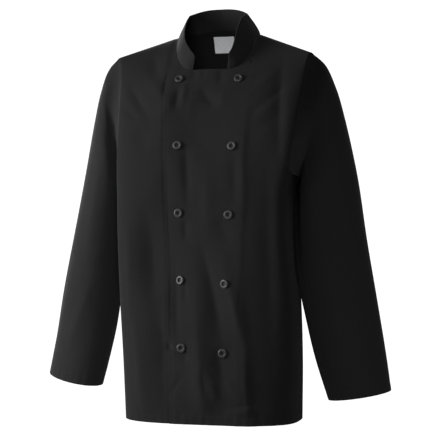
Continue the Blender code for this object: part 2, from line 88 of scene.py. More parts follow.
# %% Sizes, in metres
WALL = 0.0012  # one layer of cloth with its turnings
COLLAR_WALL = 0.0019
HEM = -0.738
UNDERARM = -0.270
NECK_HALF = 0.078
TIP_HALF = 0.1875
TIP_DROP = 0.044
NECK_POINT_Y = 0.052
TIP_Y = -0.004
SHOULDER_SLOPE = TIP_DROP / (TIP_HALF - NECK_HALF)
SHOULDER_REACH = {"front": 0.150, "back": 0.120}
FRONT_NECK = -0.0757
BACK_NECK = 0.0145
COLLAR_END = 0.034
NECK_ROUNDING = 1.35
ARMHOLE_INSET = 0.011

BUTTON_RADIUS = 0.0085
TOP_BUTTON = -0.099
BUTTON_PITCH = 0.1252
BUTTON_ROWS = 5
BUTTON_HALF = (0.0565, 0.0390)  # half of the distance between the columns, at the top and below
LAP_PAST_BUTTONS = 0.027
LAP_OUT = 0.0021  # the front on top lies this far out
TURNED_HEM = 0.017
EDGE_STITCH = 0.006  # the stitches stand this far in from the free edge
COLLAR_STITCH = 0.0055
SIDES = {1: "left", -1: "right"}  # the wearer's, as the sign of x
print("from the neck points down to the hem:", -HEM, "m")

# %% [markdown]
# ## The tables of the torso, the sleeves and the collar
#
# A filled-out garment can't be described by a few lengths. It could be sculpted by hand, but then
# nobody could say how wide it is at the chest. Here the torso is measured at nine heights and
# each sleeve at nine places along it, as a tailor's dummy is measured with a tape.

# %% Tables


def table(columns, rows):
    """A short table as one array for each named column."""
    return dict(zip(columns.split(), np.array(rows, float).T))


# The torso's sections, from the hem up. On the front, each half adds its own flatness to the
# section's squareness, because the wearer's left half hangs flatter.
TORSO = table(
    "height middle_x middle_y half_width front back squareness flat_right flat_left closing_x",
    [
        (-0.738, 0.001, 0.000, 0.1675, 0.110, 0.110, 2.5, 0.50, 0.8, 0.008),
        (-0.620, 0.000, -0.008, 0.1710, 0.108, 0.108, 2.5, 0.30, 1.6, 0.007),
        (-0.500, -0.004, -0.012, 0.1715, 0.104, 0.106, 2.6, 0.50, 2.6, 0.007),
        (-0.390, -0.011, -0.010, 0.1680, 0.100, 0.110, 2.6, 0.90, 4.0, 0.006),
        (-0.310, -0.012, -0.006, 0.1680, 0.096, 0.114, 2.8, 1.20, 4.4, 0.006),
        (-0.230, -0.006, -0.003, 0.1780, 0.088, 0.116, 3.2, 0.80, 3.2, 0.005),
        (-0.130, -0.001, 0.000, 0.1860, 0.066, 0.112, 3.6, 0.00, 1.4, 0.003),
        (-0.060, 0.000, 0.000, 0.1875, 0.040, 0.104, 3.6, 0.00, 0.3, 0.001),
        (0.020, 0.000, 0.000, 0.1880, 0.030, 0.098, 3.6, 0.00, 0.0, 0.000),
    ],
)

# A sleeve's rings: the point next to the body, the outer point, the middle and half depth along y,
# and the turn in degrees that takes the outer side back.
SLEEVE_COLUMNS = "place inner_x inner_z outer_x outer_z middle_y half_depth turn"
SLEEVES = {
    1: table(
        SLEEVE_COLUMNS,
        [
            (0.00, 0.1870, -0.270, 0.1900, -0.044, 0.000, 0.058, 0),
            (0.06, 0.1745, -0.281, 0.2160, -0.068, -0.006, 0.061, 7),
            (0.13, 0.1650, -0.300, 0.2370, -0.112, -0.014, 0.062, 17),
            (0.22, 0.1618, -0.325, 0.2540, -0.168, -0.020, 0.063, 23),
            (0.35, 0.1602, -0.375, 0.2770, -0.270, -0.018, 0.061, 24),
            (0.52, 0.1635, -0.455, 0.2970, -0.398, -0.016, 0.057, 26),
            (0.68, 0.1790, -0.535, 0.3150, -0.506, -0.011, 0.053, 26),
            (0.84, 0.1970, -0.616, 0.3290, -0.596, -0.004, 0.049, 25),
            (1.00, 0.2220, -0.696, 0.3400, -0.678, 0.000, 0.045, 22),
        ],
    ),
    -1: table(
        SLEEVE_COLUMNS,
        [
            (0.00, 0.1870, -0.270, 0.1900, -0.044, 0.000, 0.058, 0),
            (0.06, 0.1860, -0.284, 0.2125, -0.066, 0.004, 0.033, -5),
            (0.13, 0.1870, -0.300, 0.2295, -0.110, 0.008, 0.045, -11),
            (0.22, 0.1885, -0.325, 0.2420, -0.165, 0.009, 0.057, -15),
            (0.35, 0.1880, -0.375, 0.2600, -0.268, 0.008, 0.062, -14),
            (0.52, 0.1885, -0.450, 0.2830, -0.395, 0.006, 0.062, -4),
            (0.68, 0.1945, -0.528, 0.3030, -0.496, 0.004, 0.058, 8),
            (0.84, 0.2060, -0.605, 0.3190, -0.583, 0.002, 0.053, 22),
            (1.00, 0.2240, -0.682, 0.3350, -0.658, 0.000, 0.047, 22),
        ],
    ),
}

# The collar's upper edge over its seam, from the middle of the back to its front ends.
COLLAR = table(
    "place lean_left lean_right lean_forward rise",
    [
        (0.00, 0.000, 0.000, 0.010, 0.038),
        (0.25, 0.015, 0.016, 0.013, 0.042),
        (0.50, 0.026, 0.022, 0.020, 0.035),
        (0.75, 0.021, 0.019, 0.018, 0.032),
        (0.92, 0.007, 0.014, 0.010, 0.032),
        (0.97, 0.001, 0.010, 0.009, 0.030),
        (1.00, -0.004, 0.006, 0.008, 0.026),
    ],
)
print("tables: torso", TORSO["height"].size, "rows, collar", COLLAR["place"].size, "rows")

# %% [markdown]
# ## Reading between the rows
#
# Between its rows a table is read off a smooth curve, or the cloth would show a ring at every
# row. A cubic through each pair of rows, with the slope that their neighbours give, is smooth
# enough and can be read for a whole array of places at once.

# %% Smooth curves


def smooth(rows, column, at, along="height"):
    """A column read between its rows: a cubic through each pair, with the neighbours' slope."""
    place, value = rows[along], rows[column]
    slope = np.gradient(value, place)
    low = np.clip(np.searchsorted(place, at) - 1, 0, len(place) - 2)
    step = place[low + 1] - place[low]
    t = np.clip((at - place[low]) / step, 0.0, 1.0)
    start = (1 + 2 * t) * value[low] + t * step * slope[low]
    end = (3 - 2 * t) * value[low + 1] + (t - 1) * step * slope[low + 1]
    return (1 - t) ** 2 * start + t**2 * end


def ease(share):
    """0 up to 0, 1 from 1 on, and between them 3s^2 - 2s^3, which starts and ends level."""
    share = np.clip(share, 0.0, 1.0)
    return share * share * (3 - 2 * share)


print("half width at the underarm:", smooth(TORSO, "half_width", UNDERARM).round(4), "m")

# %% [markdown]
# ## The torso's surface
#
# A filled-out jacket is close to a tube with a rounded-box section, so its surface is a function
# of two parameters: the turn from straight ahead, and the height. The section is a superellipse,
# which is a circle at a power of 2 and squarer above it. Near the top the front and the back are
# drawn together along the sloping shoulder seams. Every panel of the torso is cut from this one
# surface, so panels that share a seam meet exactly.

# %% The torso as a function of turn and height


def below_seam(x, z):
    """How far a point lies under the line of the shoulder seams, which is rounded at the neck."""
    in_neck = np.minimum(np.abs(x) / NECK_HALF, 1.0)
    over_neck = NECK_HALF * (1 - in_neck**NECK_ROUNDING) / NECK_ROUNDING
    past_neck = np.maximum(np.abs(x) - NECK_HALF, 0.0)
    return (over_neck - past_neck) * SHOULDER_SLOPE - z


def squareness(z, facing, side):
    """The section's power, to which each half of the front adds its own flatness."""
    square = smooth(TORSO, "squareness", z)
    if facing == "back":
        return square
    flat_right, flat_left = smooth(TORSO, "flat_right", z), smooth(TORSO, "flat_left", z)
    return square + np.where(side < 0, flat_right, flat_left)


def torso(turn, z, facing):
    """Points of the torso, as x, y and z in the last axis.

    The section's radius is (|sin/width|^n + |cos/depth|^n)^(-1/n), where n is the squareness. The
    distance in y from the shoulder seam then shrinks towards the seam as a quarter ellipse does.
    """
    square = squareness(z, facing, turn)
    across = np.abs(np.sin(turn)) / smooth(TORSO, "half_width", z)
    ahead = np.abs(np.cos(turn)) / smooth(TORSO, facing, z)
    radius = (across**square + ahead**square) ** (-1 / square)
    towards = -1 if facing == "front" else 1
    x = smooth(TORSO, "middle_x", z) + radius * np.sin(turn)
    y = smooth(TORSO, "middle_y", z) + towards * radius * np.cos(turn)
    from_neck = np.clip((np.abs(x) - NECK_HALF) / (TIP_HALF - NECK_HALF), 0, 1)
    seam_y = NECK_POINT_Y + (TIP_Y - NECK_POINT_Y) * from_neck
    below = np.clip(below_seam(x, z) / SHOULDER_REACH[facing], 0.0, 1.0)
    y = seam_y + (y - seam_y) * np.sqrt(1 - (1 - below) ** 2)
    return np.stack([x, y, z + np.zeros_like(x)], axis=-1)


def turn_at(x, z, facing):
    """The turn at which the section at height z passes through x."""
    width = smooth(TORSO, "half_width", z)
    across = (x - smooth(TORSO, "middle_x", z)) / width
    square = squareness(z, facing, across)
    away = (1 - np.minimum(np.abs(across), 1.0) ** square) ** (1 / square)
    return np.arctan2(across * width, away * smooth(TORSO, facing, z))


def armhole_oval():
    """The middle height and the half height of an armhole."""
    return (UNDERARM - TIP_DROP) / 2, (-TIP_DROP - UNDERARM) / 2


def edge_half_width(z):
    """From the middle to the side seam or, above the underarm, to the armhole's half oval."""
    middle, half = armhole_oval()
    oval = np.sqrt(np.clip(1 - ((z - middle) / half) ** 2, 0, 1))
    return smooth(TORSO, "half_width", z) - ARMHOLE_INSET * oval


def edge_turn(z, facing, side):
    """The turn of the side seam and of the armhole's edge at a height."""
    width = smooth(TORSO, "half_width", z)
    square = squareness(z, facing, side)
    x = edge_half_width(z)
    away = (1 - (x / width) ** square) ** (1 / square)
    return np.arctan2(x, away * smooth(TORSO, facing, z))


print("front of the chest at y =", torso(np.array(0.0), np.array(-0.3), "front")[1].round(4))

# %% [markdown]
# ## The rows
#
# A grid that follows the cut of a panel puts its rows along the hem and its columns along the
# side seam, so no edge has to be trimmed afterwards. Here the rows are level up to the underarm.
# Above it they fan out: at the side they follow the armhole at an even pace, and towards the
# middle they run up to the neckline or to the shoulder seam.

# %% Rows
BODY_ROWS = 156
ARM_ROWS = 94


def armhole_heights():
    """Heights along the armhole's edge, from the underarm up, at even steps along that edge."""
    middle, half = armhole_oval()
    angle = np.pi * np.linspace(0, 1, 4001) ** 3
    z = middle - half * np.cos(angle)
    run = np.zeros(len(z))
    for facing in ("front", "back"):
        edge = torso(edge_turn(z, facing, 1), z, facing)
        run[1:] += np.cumsum(np.linalg.norm(np.diff(edge, axis=0), axis=1))
    even = np.interp(np.linspace(0, run[-1], ARM_ROWS + 1), run, angle)
    return middle - half * np.cos(even)


def row_heights(top, spread):
    """Heights of all rows in columns that end at the heights `top`.

    `spread` is 0 for columns with even rows and 1 for the column that is the armhole's edge.
    """
    share = np.linspace(0, 1, ARM_ROWS + 1)[:, None]
    body = np.linspace(HEM, UNDERARM, BODY_ROWS, endpoint=False)[:, None]
    even = UNDERARM + (top - UNDERARM) * share
    fan = armhole_heights()[:, None] - (UNDERARM + (-TIP_DROP - UNDERARM) * share)
    return np.concatenate([body + np.zeros_like(top), even + fan * spread**3])


print("every panel has", BODY_ROWS + ARM_ROWS + 1, "rows")

# %% [markdown]
# ## The columns
#
# A front's columns start at its free edge, pass the collar's end and the neck point, and finish
# at the side seam. The back's run from one side seam to the other. Where two panels meet, both
# read the same turns and heights, so a seam is one line of points that the two share.

# %% Columns
LAP_COLUMNS = 54  # from the free edge to the collar's end
NECK_COLUMNS = 18  # from there to the neck point
SIDE_COLUMNS = 52  # from there to the side seam


def side_columns(side, facing):
    """Turns and heights of the columns from the neck point's, left out, to the side."""
    share = np.linspace(0, 1, SIDE_COLUMNS + 1)[None, 1:]
    z = row_heights(-TIP_DROP * share, share)
    side_z = z[:, -1:]
    start = turn_at(side * NECK_HALF + np.zeros_like(z), z, facing)
    last = side * edge_turn(side_z, facing, side)
    edge_x = torso(last, side_z, facing)[..., 0]
    even_turn = start + (last - start) * share
    even_x = turn_at(side * NECK_HALF + (edge_x - side * NECK_HALF) * share, z, facing)
    up = np.linspace(0, 1, len(z))[:, None] ** 2
    turn = even_turn + (even_x - even_turn) * up
    turn[:, -1:] = last
    return turn, z


def button_half(down):
    """Half of the distance between the button columns, at a share of the way down them."""
    return BUTTON_HALF[0] + (BUTTON_HALF[1] - BUTTON_HALF[0]) * down


def lap_half(z):
    """From the closing line to a front's free edge, at a height."""
    down = (TOP_BUTTON - z) / (BUTTON_PITCH * (BUTTON_ROWS - 1))
    return button_half(np.clip(down, 0.0, 1.0)) + LAP_PAST_BUTTONS


def from_free_edge(x, z, side):
    """How far a point of a front lies from that front's free edge, along x."""
    return side * (x - smooth(TORSO, "closing_x", z)) + lap_half(z)


def front_columns(side):
    """Turns and heights of a front's grid, from its free edge to its side."""
    closing = smooth(TORSO, "closing_x", FRONT_NECK)
    edge_x = closing - side * lap_half(FRONT_NECK)
    end_x = closing + side * COLLAR_END
    lap = np.linspace(0, 1, LAP_COLUMNS + 1)[None, :] ** 1.5
    turned = np.sin(np.linspace(0, np.pi / 2, NECK_COLUMNS + 1))[None, 1:]
    top_x = np.concatenate(
        [edge_x + (end_x - edge_x) * lap, end_x + (side * NECK_HALF - end_x) * turned], axis=1
    )
    rise = np.concatenate([np.zeros_like(lap), turned], axis=1)
    z = row_heights(FRONT_NECK * np.sqrt(1 - rise**2), np.zeros_like(rise))
    moved = smooth(TORSO, "closing_x", z) - side * lap_half(z) - edge_x
    swing = np.concatenate([1 - lap, np.zeros_like(turned)], axis=1)
    side_turn, side_z = side_columns(side, "front")
    turn = turn_at(top_x + moved * swing, z, "front")
    return np.concatenate([turn, side_turn], axis=1), np.concatenate([z, side_z], axis=1)


def back_columns():
    """Turns and heights of the back's grid, from the left side to the right."""
    left, left_z = side_columns(1, "back")
    right, right_z = side_columns(-1, "back")
    turned = np.sin(np.linspace(np.pi / 2, -np.pi / 2, 2 * NECK_COLUMNS + 9))[None, :]
    z = row_heights(BACK_NECK * (1 - np.abs(turned) ** NECK_ROUNDING), np.zeros_like(turned))
    middle = turn_at(turned * NECK_HALF + np.zeros_like(z), z, "back")
    turn = np.concatenate([left[:, ::-1], middle, right], axis=1)
    return turn, np.concatenate([left_z[:, ::-1], z, right_z], axis=1)


print("a front has", LAP_COLUMNS + NECK_COLUMNS + SIDE_COLUMNS + 1, "columns")

# %% [markdown]
# ## Creases
#
# Cloth that hangs from two shoulders falls in long soft folds, and buttons, armholes and the edge
# of the front underneath each pull or push it a little. A noise texture would give folds that
# start and end anywhere. Real ones have a cause and a direction, so each is one row of a table:
# where it starts and ends, how wide it is at both ends, how far its line bows aside, which flank
# is steeper, where along it it is deepest, and how far it stands out, in millimetres.

# %% Creases on any surface


def creases(u, v, rows):
    """The sum of soft folds on a surface with coordinates u and v, in metres.

    Across its bowed line each is a bell, exp(-|offset / width|^1.7), whose width differs on the two
    flanks. Along the line it swells and dies as sin(pi s^q), with its peak where the row says.
    """
    total = np.zeros(np.broadcast(u, v).shape)
    for row in rows:
        u0, v0, u1, v1, first, last, bow = (value / 1000 for value in row[:7])
        skew, peak, out = row[7], row[8], row[9] / 1000
        run_u, run_v = u1 - u0, v1 - v0
        length = np.hypot(run_u, run_v)
        s = np.clip(((u - u0) * run_u + (v - v0) * run_v) / length**2, 0, 1)
        offset = ((v - v0) * run_u - (u - u0) * run_v) / length - bow * 4 * s * (1 - s)
        width = (first + (last - first) * s) * (1 + skew * np.sign(offset))
        power = np.log(0.5) / np.log(peak)
        total += out * np.exp(-(np.abs(offset / width) ** 1.7)) * np.sin(np.pi * s**power) ** 1.3
    return total


EXAMPLE = (0, 0, 0, -200, 10, 10, 0, 0, 0.5, 4)
print("a fold of 4 mm, at its middle:", float(creases(0.0, -0.1, [EXAMPLE])), "m")

# %% [markdown]
# ## The folds of the fronts
#
# The fronts hang from the shoulders and are held by ten buttons. So their folds are drawn from the
# armholes to the buttons, run down between the two columns, and open out below the third row.
# Where the edge of the front underneath ends, the cloth on top is held flat up to it.

# %% Folds of the fronts
# top_x top_z low_x low_z width_top width_low bow skew peak out
FRONT_CREASES = [
    # chest, on the wearer's right
    (-169, -90, -99, -180, 11, 13, 0, 0.0, 0.5, -5.4),
    (-139, -66, -56, -157, 15, 15, 0, 0.1, 0.5, 3.9),
    (-182, -132, -124, -176, 8, 10, 0, 0.0, 0.5, -3.3),
    (-126, -30, -94, -109, 17, 15, 0, -0.1, 0.45, -4.5),
    (-82, -81, -81, -138, 6, 6, 0, 0.0, 0.5, -1.8),
    (-67, -118, -85, -191, 11, 13, 0, 0.0, 0.5, 2.1),
    (-142, -186, -102, -229, 17, 19, 0, 0.0, 0.5, -2.4),
    # between the button columns, at the top
    (-53, -111, -57, -161, 7, 8, 0, 0.1, 0.4, -3.3),
    (-41, -99, -45, -164, 6, 8, 0, 0.0, 0.4, 2.4),
    (-13, -112, 24, -155, 10, 10, 0, 0.0, 0.45, -3.9),
    (-26, -115, -27, -183, 10, 11, 0, 0.0, 0.5, 1.8),
    (-32, -66, -24, -103, 8, 8, 0, 0.0, 0.5, -2.1),
    (-11, -72, -7, -95, 4, 4, 0, 0.0, 0.5, -1.2),
    (22, -73, 28, -113, 7, 8, 0, 0.0, 0.45, -2.4),
    (36, -105, 34, -159, 10, 11, 0, 0.0, 0.5, 1.5),
    (-47, -173, 24, -230, 19, 23, 0, 0.0, 0.5, -1.8),
    # between the button columns, half-way down
    (-32, -222, -23, -353, 10, 10, 0, 0.1, 0.35, -4.2),
    (-31, -356, -26, -405, 8, 8, 0, 0.1, 0.4, -3.3),
    (9, -230, 18, -406, 19, 19, 0, 0.2, 0.55, 3.6),
    (60, -230, 68, -351, 10, 11, 0, 0.0, 0.4, -3.0),
    (30, -351, 62, -415, 13, 15, 0, 0.0, 0.5, -2.4),
    # beside the free edge
    (-70, -229, -65, -374, 21, 21, 0, 0.0, 0.5, -3.6),
    (-106, -315, -85, -564, 51, 51, 0, 0.42, 0.48, -18.8),
    (-85, -502, -62, -649, 21, 19, 0, 0.0, 0.5, -6.6),
    (-86, -18, -54, -351, 40, 40, 0, 0.0, 0.5, 4.8),
    (-146, -349, -138, -551, 10, 10, 0, 0.2, 0.5, 2.7),
    (-144, -482, -75, -531, 15, 17, 0, 0.0, 0.5, 2.4),
    (-51, -407, -40, -604, 10, 11, 0, 0.0, 0.6, -4.2),
    (-67, -592, -17, -615, 5, 6, 0, 0.0, 0.5, -4.8),
    (-59, -593, -28, -602, 5, 5, 0, 0.0, 0.5, 4.8),
    (-57, -578, -62, -611, 6, 6, 0, 0.0, 0.5, -2.2),
    # the long folds below the third buttons
    (-7, -408, 12, -736, 19, 27, -2, 0.15, 0.65, 10.5),
    (-1, -397, 48, -599, 11, 15, 4, -0.1, 0.5, -6.9),
    (31, -397, 96, -637, 13, 13, 4, 0.1, 0.55, 5.4),
    (84, -579, 87, -734, 15, 15, 0, -0.3, 0.5, 3.9),
    (-29, -478, -23, -522, 6, 7, 0, 0.0, 0.35, -2.7),
    # near the hem, in the middle
    (8, -629, 15, -691, 8, 8, 0, 0.0, 0.45, -2.7),
    (35, -591, 49, -669, 10, 10, 0, 0.0, 0.45, -2.7),
    (8, -603, 8, -736, 21, 21, 0, 0.0, 0.5, 3.6),
    (25, -647, 34, -699, 8, 10, 0, 0.0, 0.5, 2.7),
    (51, -638, 69, -693, 10, 11, 0, 0.0, 0.5, 2.1),
    (16, -706, 62, -713, 10, 10, 0, 0.0, 0.5, -1.8),
    (-21, -600, -29, -625, 6, 6, 0, 0.0, 0.5, -2.2),
    (-57, -685, -28, -641, 6, 6, 0, 0.0, 0.5, -1.5),
    (58, -701, 106, -699, 6, 6, 0, 0.0, 0.5, -2.7),
    (54, -711, 109, -710, 6, 6, 0, 0.0, 0.5, 1.5),
    # low on the wearer's right
    (-132, -491, -107, -742, 15, 17, 0, 0.1, 0.55, 4.8),
    (-75, -564, -65, -739, 19, 17, 0, 0.0, 0.5, -4.5),
    # past the covered edge, on the wearer's left
    (123, -194, 141, -734, 28, 28, 0, 0.0, 0.42, -8.2),
    (167, -90, 82, -171, 9, 10, 0, 0.0, 0.5, -2.2),
    (151, -59, 67, -144, 10, 11, 0, 0.0, 0.5, 1.5),
    (157, -157, 89, -198, 10, 11, 0, 0.0, 0.5, -1.4),
    (150, -118, 89, -183, 10, 10, 0, 0.0, 0.5, 1.2),
    (136, -46, 148, -304, 11, 15, 0, -0.2, 0.45, -4.8),
    # the covered edge, which holds the cloth flat up to it
    (76, -130, 79, -420, 26, 26, 0, -0.5, 0.45, 3.2),
    (79, -370, 80, -600, 26, 22, 0, -0.5, 0.55, 2.6),
    (80, -520, 96, -810, 20, 20, 0, -0.4, 0.6, 4.6),
]
print(len(FRONT_CREASES), "folds on the fronts")

# %% [markdown]
# ## The folds of the back and the sleeves
#
# The back hangs free, so its folds are long and nearly straight, with short ones from the
# armholes. A sleeve folds where it leaves the armhole, inside its elbow and along its forearm.

# %% Folds of the back and the sleeves
BACK_CREASES = [
    (-66, -270, -50, -790, 17, 25, 6, 0.1, 0.55, -5.0),
    (66, -350, 88, -790, 18, 24, -4, -0.1, 0.55, -4.6),
    (12, -400, 20, -790, 16, 22, 0, 0.0, 0.6, 3.6),
    (155, -175, 84, -440, 16, 20, 8, 0.2, 0.45, 4.0),
    (-160, -205, -90, -425, 16, 20, -8, 0.2, 0.45, 3.6),
    (118, -300, 134, -780, 14, 20, 4, 0.0, 0.55, 3.2),
    (-110, -370, -124, -785, 14, 20, -4, 0.0, 0.6, 3.0),
    (-24, -240, -8, -540, 12, 15, 0, 0.0, 0.4, -2.2),
    (38, -190, 50, -430, 12, 16, 0, 0.0, 0.45, 2.2),
    (-150, -430, -146, -770, 12, 16, 0, 0.0, 0.5, -2.4),
    (148, -420, 156, -740, 12, 16, 0, 0.0, 0.5, -2.0),
    (158, -88, 64, -150, 8, 11, -5, 0.0, 0.4, -1.8),
    (-158, -84, -62, -140, 9, 11, 5, 0.0, 0.4, -1.6),
    (-70, -398, 54, -412, 10, 12, 6, 0.2, 0.5, -1.6),
    (-44, -356, 92, -362, 9, 10, -5, 0.0, 0.55, 1.3),
]
# A sleeve's rows start with degrees round from its outer side towards the front, and per cent of
# its length, for both ends. The rest is as above.
SLEEVE_CREASES = {
    1: [
        (172, 4, 166, 66, 10, 13, 0, 0.0, 0.35, -6.0),
        (128, 3, 132, 44, 13, 16, 0, -0.3, 0.35, 4.0),
        (196, 4, 158, 24, 7, 12, 4, 0.2, 0.35, -3.0),
        (222, 6, 236, 26, 8, 13, 0, 0.0, 0.4, -2.6),
        (112, 3, 104, 17, 8, 11, 0, 0.0, 0.4, -1.6),
        (60, 3, 74, 16, 9, 12, 0, 0.0, 0.4, 1.6),
        (320, 4, 306, 20, 8, 12, 0, 0.0, 0.4, -1.8),
        (74, 22, 60, 50, 13, 17, 4, 0.0, 0.45, 2.4),
        (164, 40, 84, 50, 9, 14, 5, 0.3, 0.3, -1.6),
        (168, 48, 96, 60, 9, 14, -4, 0.3, 0.35, -1.2),
        (196, 44, 262, 55, 8, 13, 5, 0.2, 0.35, -3.2),
        (200, 36, 268, 44, 8, 12, 0, 0.0, 0.35, -2.2),
        (118, 56, 112, 90, 12, 16, 0, 0.0, 0.5, 2.2),
        (44, 55, 62, 92, 12, 15, 3, 0.0, 0.5, -1.8),
        (296, 52, 284, 94, 13, 17, 0, 0.0, 0.5, 2.2),
        (240, 66, 228, 94, 10, 13, 0, 0.0, 0.5, -1.8),
        (332, 28, 340, 70, 14, 18, 0, 0.0, 0.5, 1.8),
    ],
    -1: [
        (200, 4, 168, 22, 7, 12, -3, 0.2, 0.35, -2.8),
        (160, 5, 128, 24, 8, 12, 0, 0.0, 0.4, -2.2),
        (232, 5, 250, 28, 8, 13, 0, 0.0, 0.4, -2.4),
        (92, 3, 84, 15, 9, 12, 0, 0.0, 0.4, -1.6),
        (40, 3, 52, 15, 9, 12, 0, 0.0, 0.4, 1.4),
        (62, 24, 82, 54, 13, 17, 0, 0.0, 0.5, 2.4),
        (158, 38, 78, 48, 10, 14, 4, 0.3, 0.3, -1.2),
        (166, 47, 70, 60, 10, 14, -4, 0.3, 0.35, -1.0),
        (198, 42, 268, 52, 8, 13, 4, 0.2, 0.35, -3.0),
        (206, 52, 274, 60, 8, 12, 0, 0.0, 0.35, -2.0),
        (106, 58, 96, 92, 12, 16, 0, 0.0, 0.5, 2.2),
        (36, 52, 50, 92, 12, 15, -3, 0.0, 0.5, -1.8),
        (300, 46, 290, 92, 13, 17, 0, 0.0, 0.5, 2.0),
        (236, 68, 222, 94, 10, 13, 0, 0.0, 0.5, -1.8),
        (330, 30, 338, 66, 14, 18, 0, 0.0, 0.5, 1.6),
    ],
}
print(len(BACK_CREASES), "folds on the back,", len(SLEEVE_CREASES[1]), "on the left sleeve")

# %% [markdown]
# ## What presses and pulls the fronts
#
# Three smaller things shape the fronts. The free edge is folded over a facing and stitched 6 mm
# in. Half-way down it stands up as a thin roll beside a dent, and above and below that it is
# pressed flat. The hem is turned up and stitched in the same way. And each button is sewn through,
# which draws the cloth in around it. All of these are worked out from x and z, so that both fronts
# move alike where one lies on the other.

# %% Stitched edges and buttons
DIMPLE_DEPTH, DIMPLE_RADIUS = 0.0009, 0.010
STITCH_DENT, STITCH_DENT_WIDTH = 0.00035, 0.0024
HEM_PUCKER, EDGE_PUCKER, CUFF_PUCKER = 0.00022, 0.00020, 0.00018


def button_places():
    """The row, the word and the x and z of each button, read from the frame's own buttons."""
    places = []
    for row in range(1, BUTTON_ROWS + 1):
        for word in ("left", "right"):
            low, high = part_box(f"button_{row}_{word}")
            places.append((row, word, (low[0] + high[0]) / 2, (low[2] + high[2]) / 2))
    return places


def dimples(x, z):
    """A bell-shaped dent under each button, depth * exp(-(distance / radius)^2)."""
    total = np.zeros(np.broadcast(x, z).shape)
    for _, _, button_x, button_z in button_places():
        away = (x - button_x) ** 2 + (z - button_z) ** 2
        total -= DIMPLE_DEPTH * np.exp(-away / DIMPLE_RADIUS**2)
    return total


def stitched_edge(distance, along, stitch, pucker):
    """Relief beside a stitched edge: a dent at the stitches, and small puckers on both sides.

    The puckers are two sines of different length along the edge, so they never repeat evenly.
    """
    dent = -STITCH_DENT * np.exp(-(((distance - stitch) / STITCH_DENT_WIDTH) ** 2))
    wave = np.sin(along / 0.0026) + 0.7 * np.sin(along / 0.0041 + 1.3)
    return dent + pucker * wave * np.exp(-(((distance - stitch / 2) / (0.9 * stitch)) ** 2))


print("the first button:", [round(value, 4) for value in button_places()[0][2:]])

# %% [markdown]
# ## Where the fronts lap
#
# Two fronts that lie on each other could each be drawn by hand, but then they would cross or gape
# somewhere. So both are one surface with the same folds, and only their distance from it differs:
# the front underneath is pressed in, and the one on top is lifted. Past the covered edge the top
# one steps down, and this is how the edge shows through.

# %% Relief of the fronts and the back
LIFT_MIDDLE, LIFT_HALF = -0.475, 0.155  # the height where the free edge stands up, and half its run
LIFT, PRESS, ROLL_WIDTH = 0.0019, 0.0004, 0.0034  # up there, down elsewhere, and how wide
TUCK, TUCK_PAST, TUCK_RUN = 0.0014, 0.008, 0.010  # how the front underneath is pressed in
STEP, STEP_DEEPER = 0.0004, 0.0009  # how far the top front steps down past the covered edge
STEP_DEEPER_FROM, STEP_DEEPER_RUN = -0.13, 0.12  # the height from which the step deepens
STEP_BEFORE, STEP_RUN = 0.004, 0.012  # how far before that edge the step starts, and its run
LAP_DOWN_FROM, LAP_DOWN_RUN = 0.095, 0.055  # the x from which the lap comes down to the torso
LAP_FADE, FOLD_FADE = 0.05, 0.03  # down from the shoulder seam, over which the two begin


def side_fade(x, z):
    """1 over the panel, falling to 0 at the side seam and the armhole: 1 - (x / edge)^16."""
    share = np.abs(x - smooth(TORSO, "middle_x", z)) / edge_half_width(z)
    return 1 - np.minimum(share, 1.0) ** 16


def torso_relief(x, z, facing):
    """How far the cloth of the fronts or the back stands out of the plain torso."""
    rows = FRONT_CREASES if facing == "front" else BACK_CREASES
    fade = side_fade(x, z) * ease(below_seam(x, z) / FOLD_FADE)
    relief = creases(x, z, rows) * fade
    relief += stitched_edge(z - HEM, x, TURNED_HEM, HEM_PUCKER) * side_fade(x, z)
    return relief + (dimples(x, z) if facing == "front" else 0.0)


def front_relief(x, z, side):
    """The relief of one front, with the offset that keeps the fronts apart where they lap.

    The front underneath is pressed in up to where it comes out of the lap. The front on top has
    the rolled free edge. It steps down by about one thickness past the edge that it covers, on a
    line that wanders a little, and comes down to the torso by the side seam.
    """
    relief = torso_relief(x, z, "front")
    in_from_edge = from_free_edge(x, z, side)
    if side < 0:
        return relief - TUCK * ease((lap_half(z) * 2 + TUCK_PAST - in_from_edge) / TUCK_RUN)
    relief += stitched_edge(in_from_edge, z, EDGE_STITCH, EDGE_PUCKER)
    rolled = 0.7 + 0.3 * np.sin(z / 0.031) * np.sin(z / 0.074 + 1.0)
    lifted = LIFT * np.exp(-(np.abs((z - LIFT_MIDDLE) / LIFT_HALF) ** 4)) - PRESS
    relief += lifted * rolled * np.exp(-((in_from_edge / ROLL_WIDTH) ** 2))
    past_lap = -from_free_edge(x, z, -1)
    depth = STEP + STEP_DEEPER * ease((STEP_DEEPER_FROM - z) / STEP_DEEPER_RUN)
    wander = 0.0022 * np.sin(z / 0.047) + 0.0012 * np.sin(z / 0.021 + 1.0)
    step = depth * ease((past_lap + wander + STEP_BEFORE) / STEP_RUN)
    level = (LAP_OUT - step) * (1 - ease((x - LAP_DOWN_FROM) / LAP_DOWN_RUN))
    return relief + level * ease(below_seam(x, z) / LAP_FADE)


print("the two fronts stand", round(LAP_OUT + TUCK, 4), "m apart in the lap")

# %% [markdown]
# ## The surfaces
#
# The relief is laid on along the plain torso's own normals, as cloth stands off a body. Moving
# the points along y alone would do in the middle, but it would smear the folds near the sides.

# %% Surfaces of the fronts and the back


def normals(grid, closed=False):
    """Unit normals of a grid of points, from the steps along its columns and its rows."""
    if closed:
        wide = np.concatenate([grid[:, -1:], grid, grid[:, :1]], axis=1)
        across = (wide[:, 2:] - wide[:, :-2]) / 2
    else:
        across = np.gradient(grid, axis=1)
    normal = np.cross(across, np.gradient(grid, axis=0))
    return normal / np.maximum(np.linalg.norm(normal, axis=-1, keepdims=True), 1e-12)


